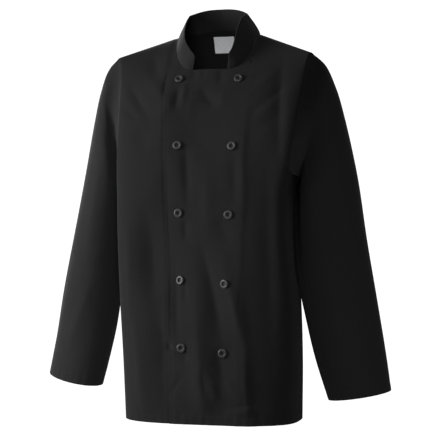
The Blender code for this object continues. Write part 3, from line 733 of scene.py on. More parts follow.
def front_surface(turn, z, side, turned=1):
    """Points of a front; `turned` is -1 where the columns run from left to right backwards."""
    plain = torso(turn, z, "front")
    out = front_relief(plain[..., 0], plain[..., 2], side)
    return plain + out[..., None] * turned * normals(plain)


def back_surface(turn, z):
    """Points of the back."""
    plain = torso(turn, z, "back")
    out = torso_relief(plain[..., 0], plain[..., 2], "back")
    return plain + out[..., None] * normals(plain)


FRONTS = {side: front_surface(*front_columns(side), side, side) for side in SIDES}
BACK = back_surface(*back_columns())
print("grids of the fronts and the back:", FRONTS[1].shape[:2], BACK.shape[:2])

# %% [markdown]
# ## From a surface to cloth
#
# A piece of cloth is a surface with a thickness, and its cut edges are round when looked at
# closely. The Solidify modifier would leave square edges, which catch no light. So the wall is
# built here: the surface is the middle of the cloth, its two faces stand half a thickness off it,
# and close to each edge they come together along a half circle. Where two pieces share a seam,
# their edges are the same points, and the two rounded edges make the fine groove of a real seam.
# The cloth also gets a UV map in metres, along the rows and the columns, for its weave.

# %% Rounded edges


def run_along(grid, axis):
    """The distance along the grid's lines in one direction, from the first point of each."""
    step = np.linalg.norm(np.diff(grid, axis=axis), axis=-1)
    start = np.zeros_like(np.take(step, [0], axis=axis))
    return np.concatenate([start, np.cumsum(step, axis=axis)], axis=axis)


def read_path(path, run, at):
    """The points of a path, or its normals, read at distances along it."""
    return np.stack([np.interp(at, run, path[:, axis]) for axis in range(3)], axis=-1)


def rimmed(data, wall, axis):
    """Adds three lines of points near both edges, and gives each line's share of the thickness.

    They lie (1 - cos a) half thicknesses in from the edge at a = 30, 60 and 90 degrees, where the
    share is sin a. All channels of data are read between the first two lines of points.
    """
    data = np.moveaxis(data, axis, 0)
    angle = np.radians([30, 60, 90]).reshape(3, 1, 1)
    deep = (1 - np.cos(angle)) * wall / 2

    def between(edge, inner):
        length = np.linalg.norm((inner - edge)[..., :3], axis=-1)[None, :, None]
        return edge + (inner - edge) * deep / np.maximum(length, wall * 0.6)

    first, last = between(data[0], data[1]), between(data[-1], data[-2])[::-1]
    whole = np.concatenate([data[:1], first, data[1:-1], last, data[-1:]])
    share = np.ones(len(whole))
    share[:4] = share[-1:-5:-1] = np.sin(np.radians([0, 30, 60, 90]))
    return np.moveaxis(whole, 0, axis), share


print("the lap's free edge is", float(run_along(FRONTS[1], 0)[-1, 0].round(4)), "m long")

# %% [markdown]
# ## Faces and mesh objects
#
# Every piece is rows of points, so its faces are found by shifting an array of point numbers by a
# row and a column. Blender takes whole arrays at once with foreach_set, which is far quicker than
# adding points and faces one at a time.

# %% Faces and mesh objects


def quads(index):
    """The corners of every face between neighbouring rows and columns of an index grid."""
    corners = [index[:-1, :-1], index[:-1, 1:], index[1:, 1:], index[1:, :-1]]
    return np.stack(corners, axis=-1).reshape(-1, 4)


def ring_index(rows, columns):
    """The index grid of rows of points whose last column meets the first."""
    index = np.arange(rows * columns).reshape(rows, columns)
    return np.concatenate([index, index[:, :1]], axis=1)


def caps(index):
    """Triangles from the first and the last ring to the two points that follow all the rings."""
    low = index[-1, -2] + 1
    first = np.stack([index[0, 1:], index[0, :-1], np.full(index.shape[1] - 1, low)], axis=-1)
    last = np.stack([index[-1, :-1], index[-1, 1:], np.full(index.shape[1] - 1, low + 1)], axis=-1)
    return np.concatenate([first, last])


def mesh_piece(name, points, *faces, uv=None):
    """A smooth mesh object at the origin, from whole arrays of points, of faces and of UVs.

    Each array of faces has its own number of corners.
    """
    corners = np.concatenate([np.ravel(array) for array in faces])
    sizes = np.concatenate([np.full(len(array), array.shape[1]) for array in faces])
    mesh = bpy.data.meshes.new(name)
    mesh.vertices.add(len(points))
    mesh.vertices.foreach_set("co", np.ravel(points).astype(np.float32))
    mesh.loops.add(len(corners))
    mesh.loops.foreach_set("vertex_index", corners.astype(np.int32))
    mesh.polygons.add(len(sizes))
    mesh.polygons.foreach_set("loop_start", (np.cumsum(sizes) - sizes).astype(np.int32))
    mesh.update(calc_edges=True)
    if uv is not None:
        layer = mesh.uv_layers.new(name="cloth")
        layer.uv.foreach_set("vector", np.ravel(uv).astype(np.float32))
    mesh.shade_smooth()
    piece = bpy.data.objects.new(name, mesh)
    bpy.context.collection.objects.link(piece)
    return piece


TUBE = ring_index(3, 4)
print("a tube of 3 rings of 4 points:", len(quads(TUBE)), "sides,", len(caps(TUBE)), "in its caps")

# %% [markdown]
# ## One piece of cloth
#
# The two faces of a piece share the points along its edges, so the shell is closed all round. A
# sleeve's last column meets its first, so it has only two edges. The UV map is in metres, which
# gives the weave one size on every piece.

# %% One piece of cloth


def outer_face(grid, side, wall, closed=False):
    """The outer face of a piece, and its outward normals."""
    outward = side * normals(grid, closed)
    return grid + outward * wall / 2, outward


def cloth(name, grid, side=1, wall=WALL, closed=False, lining=None):
    """One piece of cloth, closed all round, whose middle surface is the grid.

    side is -1 where the columns run the other way round. lining is how much thicker the inside
    is at each point, for turnings and facings.
    """
    rows, columns = grid.shape[:2]
    lining = np.zeros((rows, columns)) if lining is None else lining
    u, v = run_along(grid, 1), run_along(grid, 0)
    u = u - u[:, columns // 2, None]
    outward = side * normals(grid, closed)
    data = np.concatenate([grid, outward, u[..., None], v[..., None], lining[..., None]], axis=-1)
    data, share = rimmed(data, wall, 0)
    share = share[:, None] + np.zeros(columns)
    if not closed:
        data, across = rimmed(data, wall, 1)
        share = np.concatenate([share[:, :1]] * 3 + [share] + [share[:, -1:]] * 3, axis=1) * across
    points, outward, uv, lining = data[..., :3], data[..., 3:6], data[..., 6:8], data[..., 8:]
    half = share[..., None] * wall / 2
    outer = points + outward * half
    inner = points - outward * (half + lining * share[..., None])
    rows, columns = share.shape
    outer_index = corner = np.arange(rows * columns).reshape(rows, columns)
    inner_index = outer_index.copy()
    within = np.s_[1:-1, :] if closed else np.s_[1:-1, 1:-1]
    count = inner_index[within].size
    inner_index[within] = rows * columns + np.arange(count).reshape(inner_index[within].shape)
    if closed:
        outer_index, inner_index = (
            np.concatenate([index, index[:, :1]], axis=1) for index in (outer_index, inner_index)
        )
        gap = np.linalg.norm(points[:, 0] - points[:, -1], axis=-1)[:, None]
        last = np.concatenate([uv[:, -1:, :1] + gap[..., None], uv[:, -1:, 1:]], axis=-1)
        uv = np.concatenate([uv, last], axis=1)
        corner = np.arange(rows * (columns + 1)).reshape(rows, columns + 1)
    faces = np.concatenate([quads(outer_index)[:, ::side], quads(inner_index)[:, ::-side]])
    uv_faces = np.concatenate([quads(corner)[:, ::side], quads(corner)[:, ::-side]])
    points = np.concatenate([outer.reshape(-1, 3), inner[within].reshape(-1, 3)])
    piece = mesh_piece(name, points, faces, uv=uv.reshape(-1, 2)[uv_faces.ravel()])
    cells = np.cross(np.diff(grid, axis=1)[:-1], np.diff(grid, axis=0)[:, :-1])
    area = np.linalg.norm(cells, axis=-1).sum()
    print(f"{name}: {2 * len(faces)} triangles, {area:.4f} square metres of cloth")
    return piece


print("the edges of a piece are rounded over", WALL / 2, "m")

# %% [markdown]
# ## The fronts and the back
#
# Inside, a jacket shows its making: the hem is turned up, and the seam allowances are pressed to
# one side. Each is one more layer of cloth, so each is a step in the thickness of the wall, with
# soft edges. The outside stays smooth there.

# %% Fronts and back
TURNING = 0.0005
SEAM_ALLOWANCE = 0.010
FACING = 0.075


def band(distance, width):
    """1 up to a width from an edge and 0 past it, with a soft step between."""
    return 1 - ease((distance - width) / 0.002 + 0.5)


def body_lining(grid, facing_width, seam_from=0):
    """One more layer for the turned hem, the facing or allowance along the first column, and the
    allowances of the side seam and, from one of the columns on, of the top seam."""
    across, up = run_along(grid, 1), run_along(grid, 0)
    seam_top = np.where(np.arange(grid.shape[1]) >= seam_from, up[-1:] - up, 1.0)
    layers = [
        band(up, TURNED_HEM),
        band(across, facing_width),
        band(across[:, -1:] - across, SEAM_ALLOWANCE),
        band(seam_top, SEAM_ALLOWANCE),
    ]
    return TURNING * np.maximum.reduce(layers)


fronts = {}
for side, word in SIDES.items():
    lining = body_lining(FRONTS[side], FACING, LAP_COLUMNS + NECK_COLUMNS)
    fronts[side] = cloth(f"{word}_front_cloth", FRONTS[side], side, lining=lining)
back = cloth("back_cloth", BACK, lining=body_lining(BACK, SEAM_ALLOWANCE))

# %% [markdown]
# ## The sleeves
#
# A set-in sleeve is a tube that starts as the armhole's own loop and soon becomes round. Its
# first ring takes the very points of the fronts' and the back's armhole edges, so the seam is
# closed whatever the folds do. From there each ring is an oval whose size and turn are read from
# the sleeve's table. The seam allowance lies inside the sleeve's head and lifts it a little.

# %% Rings of the sleeves
SLEEVE_RINGS = 150
SLEEVE_SPREAD = 1.15
SLEEVE_LENGTH = 0.64
SLEEVE_ROUND = 0.060  # a middling radius, which turns degrees into a distance
ARMHOLE_BLEND = 0.085


def armhole_loop(side):
    """The armhole's edge: from the shoulder's tip down the front panel, and up the back."""
    front = FRONTS[side][BODY_ROWS:, -1][::-1]
    back_edge = BACK[BODY_ROWS:, 0 if side > 0 else -1]
    return np.concatenate([front, back_edge[1:-1]])


def sleeve_oval(side, place, t):
    """A ring of the sleeve at a place along it: its middle, plus half its inner-to-outer line
    times cos t, plus half its depth times sin t, turned about +Z by the ring's own turn."""
    read = {name: smooth(SLEEVES[side], name, place, "place") for name in SLEEVES[side]}
    turn = np.radians(read["turn"])
    half_x = (read["outer_x"] - read["inner_x"]) / 2
    half_z = (read["outer_z"] - read["inner_z"]) / 2
    width, depth = half_x * np.cos(t), read["half_depth"] * np.sin(t)
    x = read["inner_x"] + half_x + np.cos(turn) * width + np.sin(turn) * depth
    y = read["middle_y"] + np.sin(turn) * width - np.cos(turn) * depth
    z = read["inner_z"] + half_z + half_z * np.cos(t)
    return np.stack([side * x, y, z], axis=-1)


print("an armhole's loop has", len(armhole_loop(1)), "points")

# %% [markdown]
# ## The sleeves' folds and cloth
#
# A sleeve's folds lie on it as on an unrolled sheet: the turn round it times a middling radius
# gives metres. They start a little below the armhole. There the seam allowance lifts the sleeve's
# head and ripples it, because more cloth is eased into the seam than the armhole is long.

# %% Sleeves
HEAD_FADE = 0.03  # down from the seam, over which the creases begin
HEAD_LIFT, HEAD_LIFT_AT, HEAD_LIFT_WIDTH = 0.0009, 0.0045, 0.0035  # over the seam allowance
HEAD_RIPPLE, HEAD_RIPPLE_AT, HEAD_RIPPLE_WIDTH = 0.00030, 0.012, 0.010


def sleeve_relief(side, place, t, down):
    """The sleeve's creases, the lift of its head at the seam, and its stitched cuff."""
    degrees = np.degrees(t) % 360
    relief = np.zeros(np.broadcast(place, t).shape)
    for row in SLEEVE_CREASES[side]:
        middle = (row[0] + row[2]) / 2
        around = (degrees - middle + 180) % 360 - 180 + middle
        line = (
            1000 * np.radians(row[0]) * SLEEVE_ROUND,
            -10 * row[1] * SLEEVE_LENGTH,
            1000 * np.radians(row[2]) * SLEEVE_ROUND,
            -10 * row[3] * SLEEVE_LENGTH,
            *row[4:],
        )
        relief += creases(np.radians(around) * SLEEVE_ROUND, -place * SLEEVE_LENGTH, [line])
    relief *= ease(down / HEAD_FADE)
    relief += HEAD_LIFT * np.exp(-(((down - HEAD_LIFT_AT) / HEAD_LIFT_WIDTH) ** 2))
    ripple = np.sin(t * 23 + 1.0) + 0.6 * np.sin(t * 14)
    relief += HEAD_RIPPLE * ripple * np.exp(-(((down - HEAD_RIPPLE_AT) / HEAD_RIPPLE_WIDTH) ** 2))
    return relief + stitched_edge(down[-1:] - down, t * SLEEVE_ROUND, TURNED_HEM, CUFF_PUCKER)


def sleeve_surface(side):
    """Points of a sleeve: rings from the armhole down to the cuff, columns from the tip round."""
    count = 2 * ARM_ROWS
    t = np.linspace(0, 2 * np.pi, count, endpoint=False)[None, :]
    place = (np.linspace(0, 1, SLEEVE_RINGS + 1) ** SLEEVE_SPREAD)[:, None]
    rings = sleeve_oval(side, place, t)
    blend = (1 - ease(place / ARMHOLE_BLEND))[..., None]
    rings = rings + (armhole_loop(side)[None] - rings[:1]) * blend
    down = run_along(rings, 0)
    out = sleeve_relief(side, place, t, down)
    out[0] = 0.0
    return rings + out[..., None] * side * normals(rings, closed=True)


def sleeve_lining(grid):
    """The turned cuff and the allowance round the armhole."""
    down = run_along(grid, 0)
    return TURNING * np.maximum(band(down[-1:] - down, TURNED_HEM), band(down, SEAM_ALLOWANCE))


SLEEVE_GRIDS = {side: sleeve_surface(side) for side in SIDES}
sleeves = {
    side: cloth(f"{SIDES[side]}_sleeve_cloth", grid, side, WALL, True, sleeve_lining(grid))
    for side, grid in SLEEVE_GRIDS.items()
}

# %% [markdown]
# ## The collar
#
# A stand collar is two layers with a stiffener between, so it keeps a smooth curve of its own and
# is thicker than the rest. It starts from the neckline's points and leans in as it rises. It
# swells by a millimetre half-way up, because the outer layer has to go round the inner one, and
# its ends are rounded off by cutting their rise short.

# %% Collar
COLLAR_ROWS = 22
COLLAR_COLUMNS = 150
COLLAR_SWELL = 0.0020
COLLAR_WAVE = 0.0004


def collar_surface():
    """Rows up from the neckline, columns from the left end round the back to the right end."""
    first, last = LAP_COLUMNS, LAP_COLUMNS + NECK_COLUMNS
    left, right = FRONTS[1][-1, first : last + 1], FRONTS[-1][-1, first : last + 1]
    behind = BACK[-1, SIDE_COLUMNS + 1 : -SIDE_COLUMNS - 1]
    seam = np.concatenate([left, behind, right[::-1]])
    run = run_along(seam, 0)
    even = np.linspace(0, run[-1], COLLAR_COLUMNS)
    seam = read_path(seam, run, even)
    place = np.abs(np.linspace(-1, 1, COLLAR_COLUMNS))[None, :]
    lean = {name: smooth(COLLAR, name, place, "place") for name in COLLAR}
    up = np.linspace(0, 1, COLLAR_ROWS + 1)[:, None]
    inward = np.where(seam[None, :, 0] > 0, lean["lean_left"], -lean["lean_right"])
    x = seam[None, :, 0] - inward * up
    y = seam[None, :, 1] - lean["lean_forward"] * up
    z = seam[None, :, 2] + lean["rise"] * up
    grid = np.stack([x, y, z], axis=-1)
    across = np.minimum(even, run[-1] - even)[None, :]
    swell = COLLAR_SWELL * np.sin(np.pi * up**0.55) * ease(across / 0.02)
    swell = swell + COLLAR_WAVE * np.sin(even / 0.021 + 3 * up) * up * (1 - up) * 4
    return grid + swell[..., None] * normals(grid)


COLLAR_GRID = collar_surface()
collar = cloth("collar_cloth", COLLAR_GRID, wall=COLLAR_WALL)

# %% [markdown]
# ## The neck label
#
# A woven label is sewn inside the back neck. Here it is bare. It is cut from the back's own
# surface, moved in past the back's inner face, so it lies against the cloth and bends with it.

# %% Label
LABEL_WALL = 0.0005
LABEL_LIFT = 0.0012  # in from the back's inner face
LABEL_WAVE = 0.0002


def label_surface():
    """An even grid in x and z over the frame's label, at a steady depth inside the back."""
    low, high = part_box("neck_label")
    x = np.linspace(high[0], low[0], 49)[None, :]
    z = np.linspace(low[2], high[2], 25)[:, None]
    grid = back_surface(turn_at(x, z, "back"), z + np.zeros_like(x))
    wave = np.sin((x - low[0]) / 0.0035) * np.cos((z - low[2]) / 0.006)
    lift = LABEL_LIFT + LABEL_WAVE * wave
    return grid - normals(grid) * (lift + WALL / 2)[..., None]


label = cloth("label_cloth", label_surface(), wall=LABEL_WALL)

# %% [markdown]
# ## Stitches
#
# Topstitching is what makes black cloth read as sewn: a row of short threads, each sunk at both
# ends. Each stitch is a small spindle of a few dozen faces, and a whole row is one mesh worked
# out as one array: the spindle's points times a frame of three directions at every place.

# %% Stitches
STITCH_PITCH = 0.0032
STITCH_LENGTH = 0.0025
STITCH_HALF_WIDTH = 0.00032


def resampled(path, outward, pitch):
    """Places, outward normals and directions at an even pitch along a path."""
    run = run_along(path, 0)
    at = np.arange(pitch / 2, run[-1], pitch)
    place, normal = read_path(path, run, at), read_path(outward, run, at)
    normal /= np.linalg.norm(normal, axis=-1, keepdims=True)
    along = read_path(path, run, at + 1e-4) - place
    along -= (along * normal).sum(-1, keepdims=True) * normal
    return place, normal, along / np.maximum(np.linalg.norm(along, axis=-1, keepdims=True), 1e-12)


def spindle(rings=4, sides=6):
    """Points and faces of a closed spindle along x: rings of radius sin(pi s)^0.5, and two tips."""
    s = (np.arange(rings) + 0.5) / rings
    angle = np.linspace(0, 2 * np.pi, sides, endpoint=False)
    radius = np.sqrt(np.sin(np.pi * s))[:, None]
    x = (s - 0.5)[:, None] + np.zeros(sides)
    ring = np.stack([x, radius * np.cos(angle), radius * np.sin(angle)], axis=-1).reshape(-1, 3)
    index = ring_index(rings, sides)
    tips = np.array([[-0.5, 0, 0], [0.5, 0, 0]])
    return np.concatenate([ring, tips]), quads(index)[:, ::-1], caps(index)


def stitch_rows(name, paths):
    """One mesh of every stitch along several paths; each path is its points and its normals."""
    parts = [resampled(path, outward, STITCH_PITCH) for path, outward in paths]
    place, normal, along = (np.concatenate(part) for part in zip(*parts))
    beside = np.cross(normal, along)
    shape, sides, tips = spindle()
    bend = 1 - 3.2 * shape[:, 0] ** 2
    points = (
        place[:, None]
        + along[:, None] * (shape[:, :1] * STITCH_LENGTH)
        + beside[:, None] * (shape[:, 1:2] * STITCH_HALF_WIDTH)
        + normal[:, None] * ((shape[:, 2:] * 0.8 + bend[:, None] * 0.35) * STITCH_HALF_WIDTH)
    )
    first = (np.arange(len(place)) * len(shape))[:, None, None]
    four, three = (sides[None] + first).reshape(-1, 4), (tips[None] + first).reshape(-1, 3)
    print(f"{name}: {len(place)} stitches, {2 * len(four) + len(three)} triangles")
    return mesh_piece(name, points.reshape(-1, 3), four, three)


print("a stitch has", len(spindle()[0]), "points")

# %% [markdown]
# ## Where the stitches run
#
# Topstitching keeps one distance from an edge: the free edge, the hem, the cuffs and the three
# open edges of the collar. Each line is found by measuring along the outer face from that edge,
# so it follows every fold.

# %% Rows of stitches
HIDDEN_PAST = -0.086  # the right front's hem stitches lie under the left front past this x
EDGE_FIRST = {
    "first row": lambda array: array,
    "last row": lambda array: array[::-1],
    "first column": lambda array: array.swapaxes(0, 1),
    "last column": lambda array: array[:, ::-1].swapaxes(0, 1),
}


def line_beside(face, edge, distance):
    """The line at a distance from one edge of a face, as its points and its normals.

    The face is turned so that this edge is its first row. Each column is then read where the
    distance along it from that row is the one asked for.
    """
    points, outward = (EDGE_FIRST[edge](array) for array in face)
    up = run_along(points, 0)
    low = np.clip((up < distance).sum(0) - 1, 0, len(points) - 2)
    column = np.arange(points.shape[1])
    share = (distance - up[low, column]) / (up[low + 1, column] - up[low, column])
    share = share[:, None]
    at = points[low, column] * (1 - share) + points[low + 1, column] * share
    return at, outward[low, column] * (1 - share) + outward[low + 1, column] * share


front_faces = {side: outer_face(FRONTS[side], side, WALL) for side in SIDES}
cuff_faces = {side: outer_face(SLEEVE_GRIDS[side], side, WALL, True) for side in SIDES}
collar_face = outer_face(COLLAR_GRID, 1, COLLAR_WALL)
right_hem = line_beside(front_faces[-1], "first row", TURNED_HEM)
shows = FRONTS[-1][0, :, 0] < HIDDEN_PAST
STITCH_PATHS = {
    "front_edge_stitches": [line_beside(front_faces[1], "first column", EDGE_STITCH)],
    "left_hem_stitches": [line_beside(front_faces[1], "first row", TURNED_HEM)],
    "right_hem_stitches": [[array[shows] for array in right_hem]],
    "back_hem_stitches": [line_beside(outer_face(BACK, 1, WALL), "first row", TURNED_HEM)],
    "left_cuff_stitches": [line_beside(cuff_faces[1], "last row", TURNED_HEM)],
    "right_cuff_stitches": [line_beside(cuff_faces[-1], "last row", TURNED_HEM)],
    "collar_stitches": [
        line_beside(collar_face, edge, COLLAR_STITCH)
        for edge in ("last row", "first column", "last column")
    ],
}
threads = {name: stitch_rows(name, paths) for name, paths in STITCH_PATHS.items()}

# %% [markdown]
# ## The buttons
#
# Each button is turned plastic: a broad rounded rim round a sunken middle with four holes, held
# by a cross of thread. A lathe profile gives everything but the holes, so the profile is carried
# round the axis on a polar grid, and the holes are smooth pits taken out of the same surface. The
# grid is one closed sheet: the profile goes up the outside, over the rim and in to the middle.

# %% The turned button
BUTTON_SIDES = 56
BUTTON_FLOOR = 0.09  # the height of the sunken middle, in radii
HOLE_PLACE = 0.0014
HOLE_RADIUS = 0.00070
HOLE_DEPTH = 0.0009


def button_shape():
    """Points and faces of a button that lies on z = 0 and faces +Z, in metres.

    The profile's height over the radius is read from a few points with a smooth curve. The four
    pits are bells, depth * exp(-(distance / radius)^4), which have flat floors and steep walls.
    """
    profile = table(
        "place radius height",
        [
            (0.00, 0.000, 0.00),
            (0.10, 0.600, 0.00),
            (0.18, 0.860, 0.05),
            (0.26, 0.985, 0.17),
            (0.34, 0.985, 0.30),
            (0.44, 0.880, 0.40),
            (0.54, 0.690, 0.44),
            (0.63, 0.490, 0.39),
            (0.70, 0.375, 0.22),
            (0.76, 0.320, 0.10),
            (1.00, 0.000, BUTTON_FLOOR),
        ],
    )
    place = np.linspace(0, 1, 74)[1:-1, None]
    radius = smooth(profile, "radius", place, "place") * BUTTON_RADIUS
    height = smooth(profile, "height", place, "place") * BUTTON_RADIUS
    angle = np.linspace(0, 2 * np.pi, BUTTON_SIDES, endpoint=False)
    x, y = radius * np.cos(angle), radius * np.sin(angle)
    z = height + np.zeros_like(x)
    for turn in np.radians([45, 135, 225, 315]):
        away = np.hypot(x - HOLE_PLACE * np.cos(turn), y - HOLE_PLACE * np.sin(turn))
        pit = HOLE_DEPTH * np.exp(-((away / HOLE_RADIUS) ** 4))
        z = z - np.where(place > 0.7, pit, 0.0)
    rings = np.stack([x, y, z], axis=-1).reshape(-1, 3)
    poles = np.array([[0, 0, 0], [0, 0, BUTTON_FLOOR * BUTTON_RADIUS]])
    index = ring_index(len(place), BUTTON_SIDES)
    return np.concatenate([rings, poles]), quads(index), caps(index)


SHAPE, SHAPE_SIDES, SHAPE_CAPS = button_shape()
print("a button has", 2 * len(SHAPE_SIDES) + len(SHAPE_CAPS), "triangles")

# %% [markdown]
# ## The thread in a button
#
# Two threads cross between the four holes. Each is the spindle of a stitch again, longer and bent
# down into a hole at both ends, so that it needs no knot behind.

# %% Thread
THREAD_UP, THREAD_OVER = 0.0003, 0.0002  # over the middle, and one thread over the other
THREAD_SAG = 0.0011


def thread_cross():
    """Two crossing threads between opposite holes, as two spindles.

    Each sags towards its ends by the square of the distance along it, and one lies on the other.
    """
    shape, sides, tips = spindle(6, 6)
    points, faces = [], []
    for count, turn in enumerate(np.radians([45, 135])):
        along = np.array([np.cos(turn), np.sin(turn), 0])
        beside = np.array([-np.sin(turn), np.cos(turn), 0])
        up = np.array([0, 0, 1])
        sag = THREAD_SAG * shape[:, :1] ** 2
        height = BUTTON_FLOOR * BUTTON_RADIUS + THREAD_UP + THREAD_OVER * count - sag
        points.append(
            shape[:, :1] * along * (2 * HOLE_PLACE + 0.0008)
            + shape[:, 1:2] * beside * 0.00035
            + (shape[:, 2:] * 0.0003 + height) * up
        )
        faces += [sides + count * len(shape), tips + count * len(shape)]
    return np.concatenate(points), faces


CROSS, CROSS_FACES = thread_cross()
print("a cross of thread has", len(CROSS), "points")

# %% [markdown]
# ## Setting the buttons
#
# A button lies square to the cloth under it, so its directions are read from a small patch of the
# front. Nobody sews ten buttons alike: each is spun and tilted a little by sines of its row, which
# give the same result on every run.

# %% Buttons
BUTTON_STAND_OFF = 0.0010  # from the front's outer face
PATCH = 0.006


def button_frame(x, z):
    """The foot of a button on the left front, and the three directions it stands in."""
    reach = PATCH * np.array([-1, 0, 1])
    at_z = (z + reach)[:, None] + np.zeros(3)
    patch = front_surface(turn_at((x + reach)[None, :], at_z, "front"), at_z, 1)
    across = patch[1, 2] - patch[1, 0]
    across /= np.linalg.norm(across)
    outward = np.cross(across, patch[2, 1] - patch[0, 1])
    outward /= np.linalg.norm(outward)
    foot = patch[1, 1] + outward * (WALL / 2 + BUTTON_STAND_OFF)
    return foot, across, np.cross(outward, across), outward


def placed(shape, x, z, spin, tilt):
    """A shape set on the front at x and z, spun about its own axis and tilted a little."""
    foot, across, level, outward = button_frame(x, z)
    turned_x = shape[:, 0] * np.cos(spin) - shape[:, 1] * np.sin(spin)
    turned_y = shape[:, 0] * np.sin(spin) + shape[:, 1] * np.cos(spin)
    lean = outward + tilt[0] * across + tilt[1] * level
    lean /= np.linalg.norm(lean)
    return (
        foot
        + turned_x[:, None] * (across - tilt[0] * outward)
        + turned_y[:, None] * (level - tilt[1] * outward)
        + shape[:, 2:] * lean
    )


buttons, crosses = {}, {}
for row, word, x, z in button_places():
    spin = 0.35 * np.sin(7.1 * row + (3.0 if word == "left" else 0.0))
    tilt = (0.05 * np.sin(3.3 * row + len(word)), 0.06 * np.cos(2.1 * row + 2 * len(word)) - 0.02)
    name = f"button_{row}_{word}"
    points = placed(SHAPE, x, z, spin, tilt)
    buttons[name] = mesh_piece(f"rimmed_{name}", points, SHAPE_SIDES, SHAPE_CAPS)
    crosses[name] = mesh_piece(f"thread_{name}", placed(CROSS, x, z, spin, tilt), *CROSS_FACES)
print(len(buttons), "buttons and", len(crosses), "crosses of thread")

# %% [markdown]
# ## Node groups
#
# The cloth and the label both need a weave, and every finish needs a little unevenness. So these
# are two node groups, built once and placed in each material with that material's own values. A
# group gives out only masks and heights: the shader itself stays in the material. Adding nodes
# takes the same three steps each time, so a few helpers come first.

# %% Helpers for nodes


def wired(tree, kind, inputs=(), **settings):
    """Adds a node, sets its options, and links or fills its inputs by name or number."""
    node = tree.nodes.new(kind)
    for name, value in settings.items():
        setattr(node, name, value)
    for key, value in dict(inputs).items():
        if hasattr(value, "links"):
            tree.links.new(value, node.inputs[key])
        else:
            node.inputs[key].default_value = value
    return node


def math_node(tree, operation, *values):
    """A Math node's output."""
    return wired(tree, "ShaderNodeMath", enumerate(values), operation=operation).outputs[0]


def group(name, inputs, outputs):
    """A node group with named sockets, and its inner input and output nodes."""
    tree = bpy.data.node_groups.new(name, "ShaderNodeTree")
    for label_text, kind, value in inputs:
        socket = tree.interface.new_socket(label_text, in_out="INPUT", socket_type=kind)
        if value is not None:
            socket.default_value = value
    for label_text, kind in outputs:
        tree.interface.new_socket(label_text, in_out="OUTPUT", socket_type=kind)
    return tree, tree.nodes.new("NodeGroupInput"), tree.nodes.new("NodeGroupOutput")


print("helpers:", [helper.__name__ for helper in (wired, math_node, group)])

# %% [markdown]
# ## The weave
#
# Twill is woven so that its ribs run aslant. An image of the weave would blur when it is looked at
# closely, and two sines stay sharp. The weave reads the cloth's UV map, which is in metres, so its
# ribs turn with the grain of each panel.

# %% Twill


def twill_group():
    """Slanting ribs with the yarns across them: two sines of u and v, one for each direction.

    Rib = sin(2 pi (u + 1.6 v) / pitch), yarn = sin(2 pi (1.6 u - v) / (0.6 pitch)).
    """
    tree, given, out = group(
        "twill weave",
        [("Place", "NodeSocketVector", None), ("Pitch", "NodeSocketFloat", 0.0007)],
        [("Height", "NodeSocketFloat"), ("Rib", "NodeSocketFloat")],
    )
    parts = wired(tree, "ShaderNodeSeparateXYZ", {"Vector": given.outputs["Place"]})
    u, v = parts.outputs["X"], parts.outputs["Y"]
    turns = math_node(tree, "DIVIDE", 2 * np.pi, given.outputs["Pitch"])
    slant = math_node(tree, "ADD", u, math_node(tree, "MULTIPLY", v, 1.6))
    against = math_node(tree, "SUBTRACT", math_node(tree, "MULTIPLY", u, 1.6), v)
    rib = math_node(tree, "SINE", math_node(tree, "MULTIPLY", slant, turns))
    yarn = math_node(
        tree, "SINE", math_node(tree, "MULTIPLY", math_node(tree, "MULTIPLY", against, turns), 1.7)
    )
    height = math_node(tree, "ADD", rib, math_node(tree, "MULTIPLY", yarn, 0.45))
    tree.links.new(height, out.inputs["Height"])
    # The Rib mask, 0 in a groove and 1 on a crest, is what the finishes use to paint shade into the
    # grooves.
    tree.links.new(math_node(tree, "MULTIPLY_ADD", rib, 0.5, 0.5), out.inputs["Rib"])
    return tree


TWILL = twill_group()
print("node group:", TWILL.name, "with", len(TWILL.nodes), "nodes")

# %% [markdown]
# ## The unevenness
#
# No cloth, thread or plastic is one even colour. Broad rumples become a height, and a fine
# mottling becomes a mask for colour and roughness. Both are noise in the object's own space.

# %% Unevenness


def uneven_group():
    """Soft unevenness at two sizes: broad rumples as a height, and mottling as a mask."""
    tree, given, out = group(
        "unevenness",
        [
            ("Place", "NodeSocketVector", None),
            ("Rumple scale", "NodeSocketFloat", 28.0),
            ("Mottle scale", "NodeSocketFloat", 420.0),
        ],
        [("Height", "NodeSocketFloat"), ("Mottle", "NodeSocketFloat")],
    )
    where = given.outputs["Place"]
    rumple = wired(
        tree,
        "ShaderNodeTexNoise",
        {"Vector": where, "Scale": given.outputs["Rumple scale"], "Detail": 2.0, "Roughness": 0.45},
    )
    mottle = wired(
        tree,
        "ShaderNodeTexNoise",
        {"Vector": where, "Scale": given.outputs["Mottle scale"], "Detail": 4.0, "Roughness": 0.6},
    )
    tree.links.new(rumple.outputs["Fac"], out.inputs["Height"])
    tree.links.new(mottle.outputs["Fac"], out.inputs["Mottle"])
    return tree


UNEVEN = uneven_group()
print("node group:", UNEVEN.name, "with", len(UNEVEN.nodes), "nodes")

# %% [markdown]
# ## Setting up a shader
#
# One Principled shader serves for cloth, plastic and thread. What is the same all over a piece is
# set on the shader's own sockets. Only colour, roughness and bump change over the surface, so only
# these are linked, and a few helpers do it.

# %% Helpers for shaders


def finish_of(name, constants):
    """A new material with its Principled shader's constant sockets set, and that shader."""
    made = bpy.data.materials.new(name)
    made.use_nodes = True
    shader = made.node_tree.nodes["Principled BSDF"]
    for key, value in constants.items():
        shader.inputs[key].default_value = value
    return made, made.node_tree, shader


def mixed(tree, mask, low, high):
    """A colour between two colours, by a mask, through a Mix node's own colour sockets."""
    node = tree.nodes.new("ShaderNodeMix")
    node.data_type = "RGBA"
    tree.links.new(mask, node.inputs[0])
    node.inputs[6].default_value = (*low, 1.0)
    node.inputs[7].default_value = (*high, 1.0)
    return node.outputs[2]


def ranged(tree, mask, low, high):
    """A number between two numbers, by a mask."""
    return math_node(tree, "MULTIPLY_ADD", mask, high - low, low)


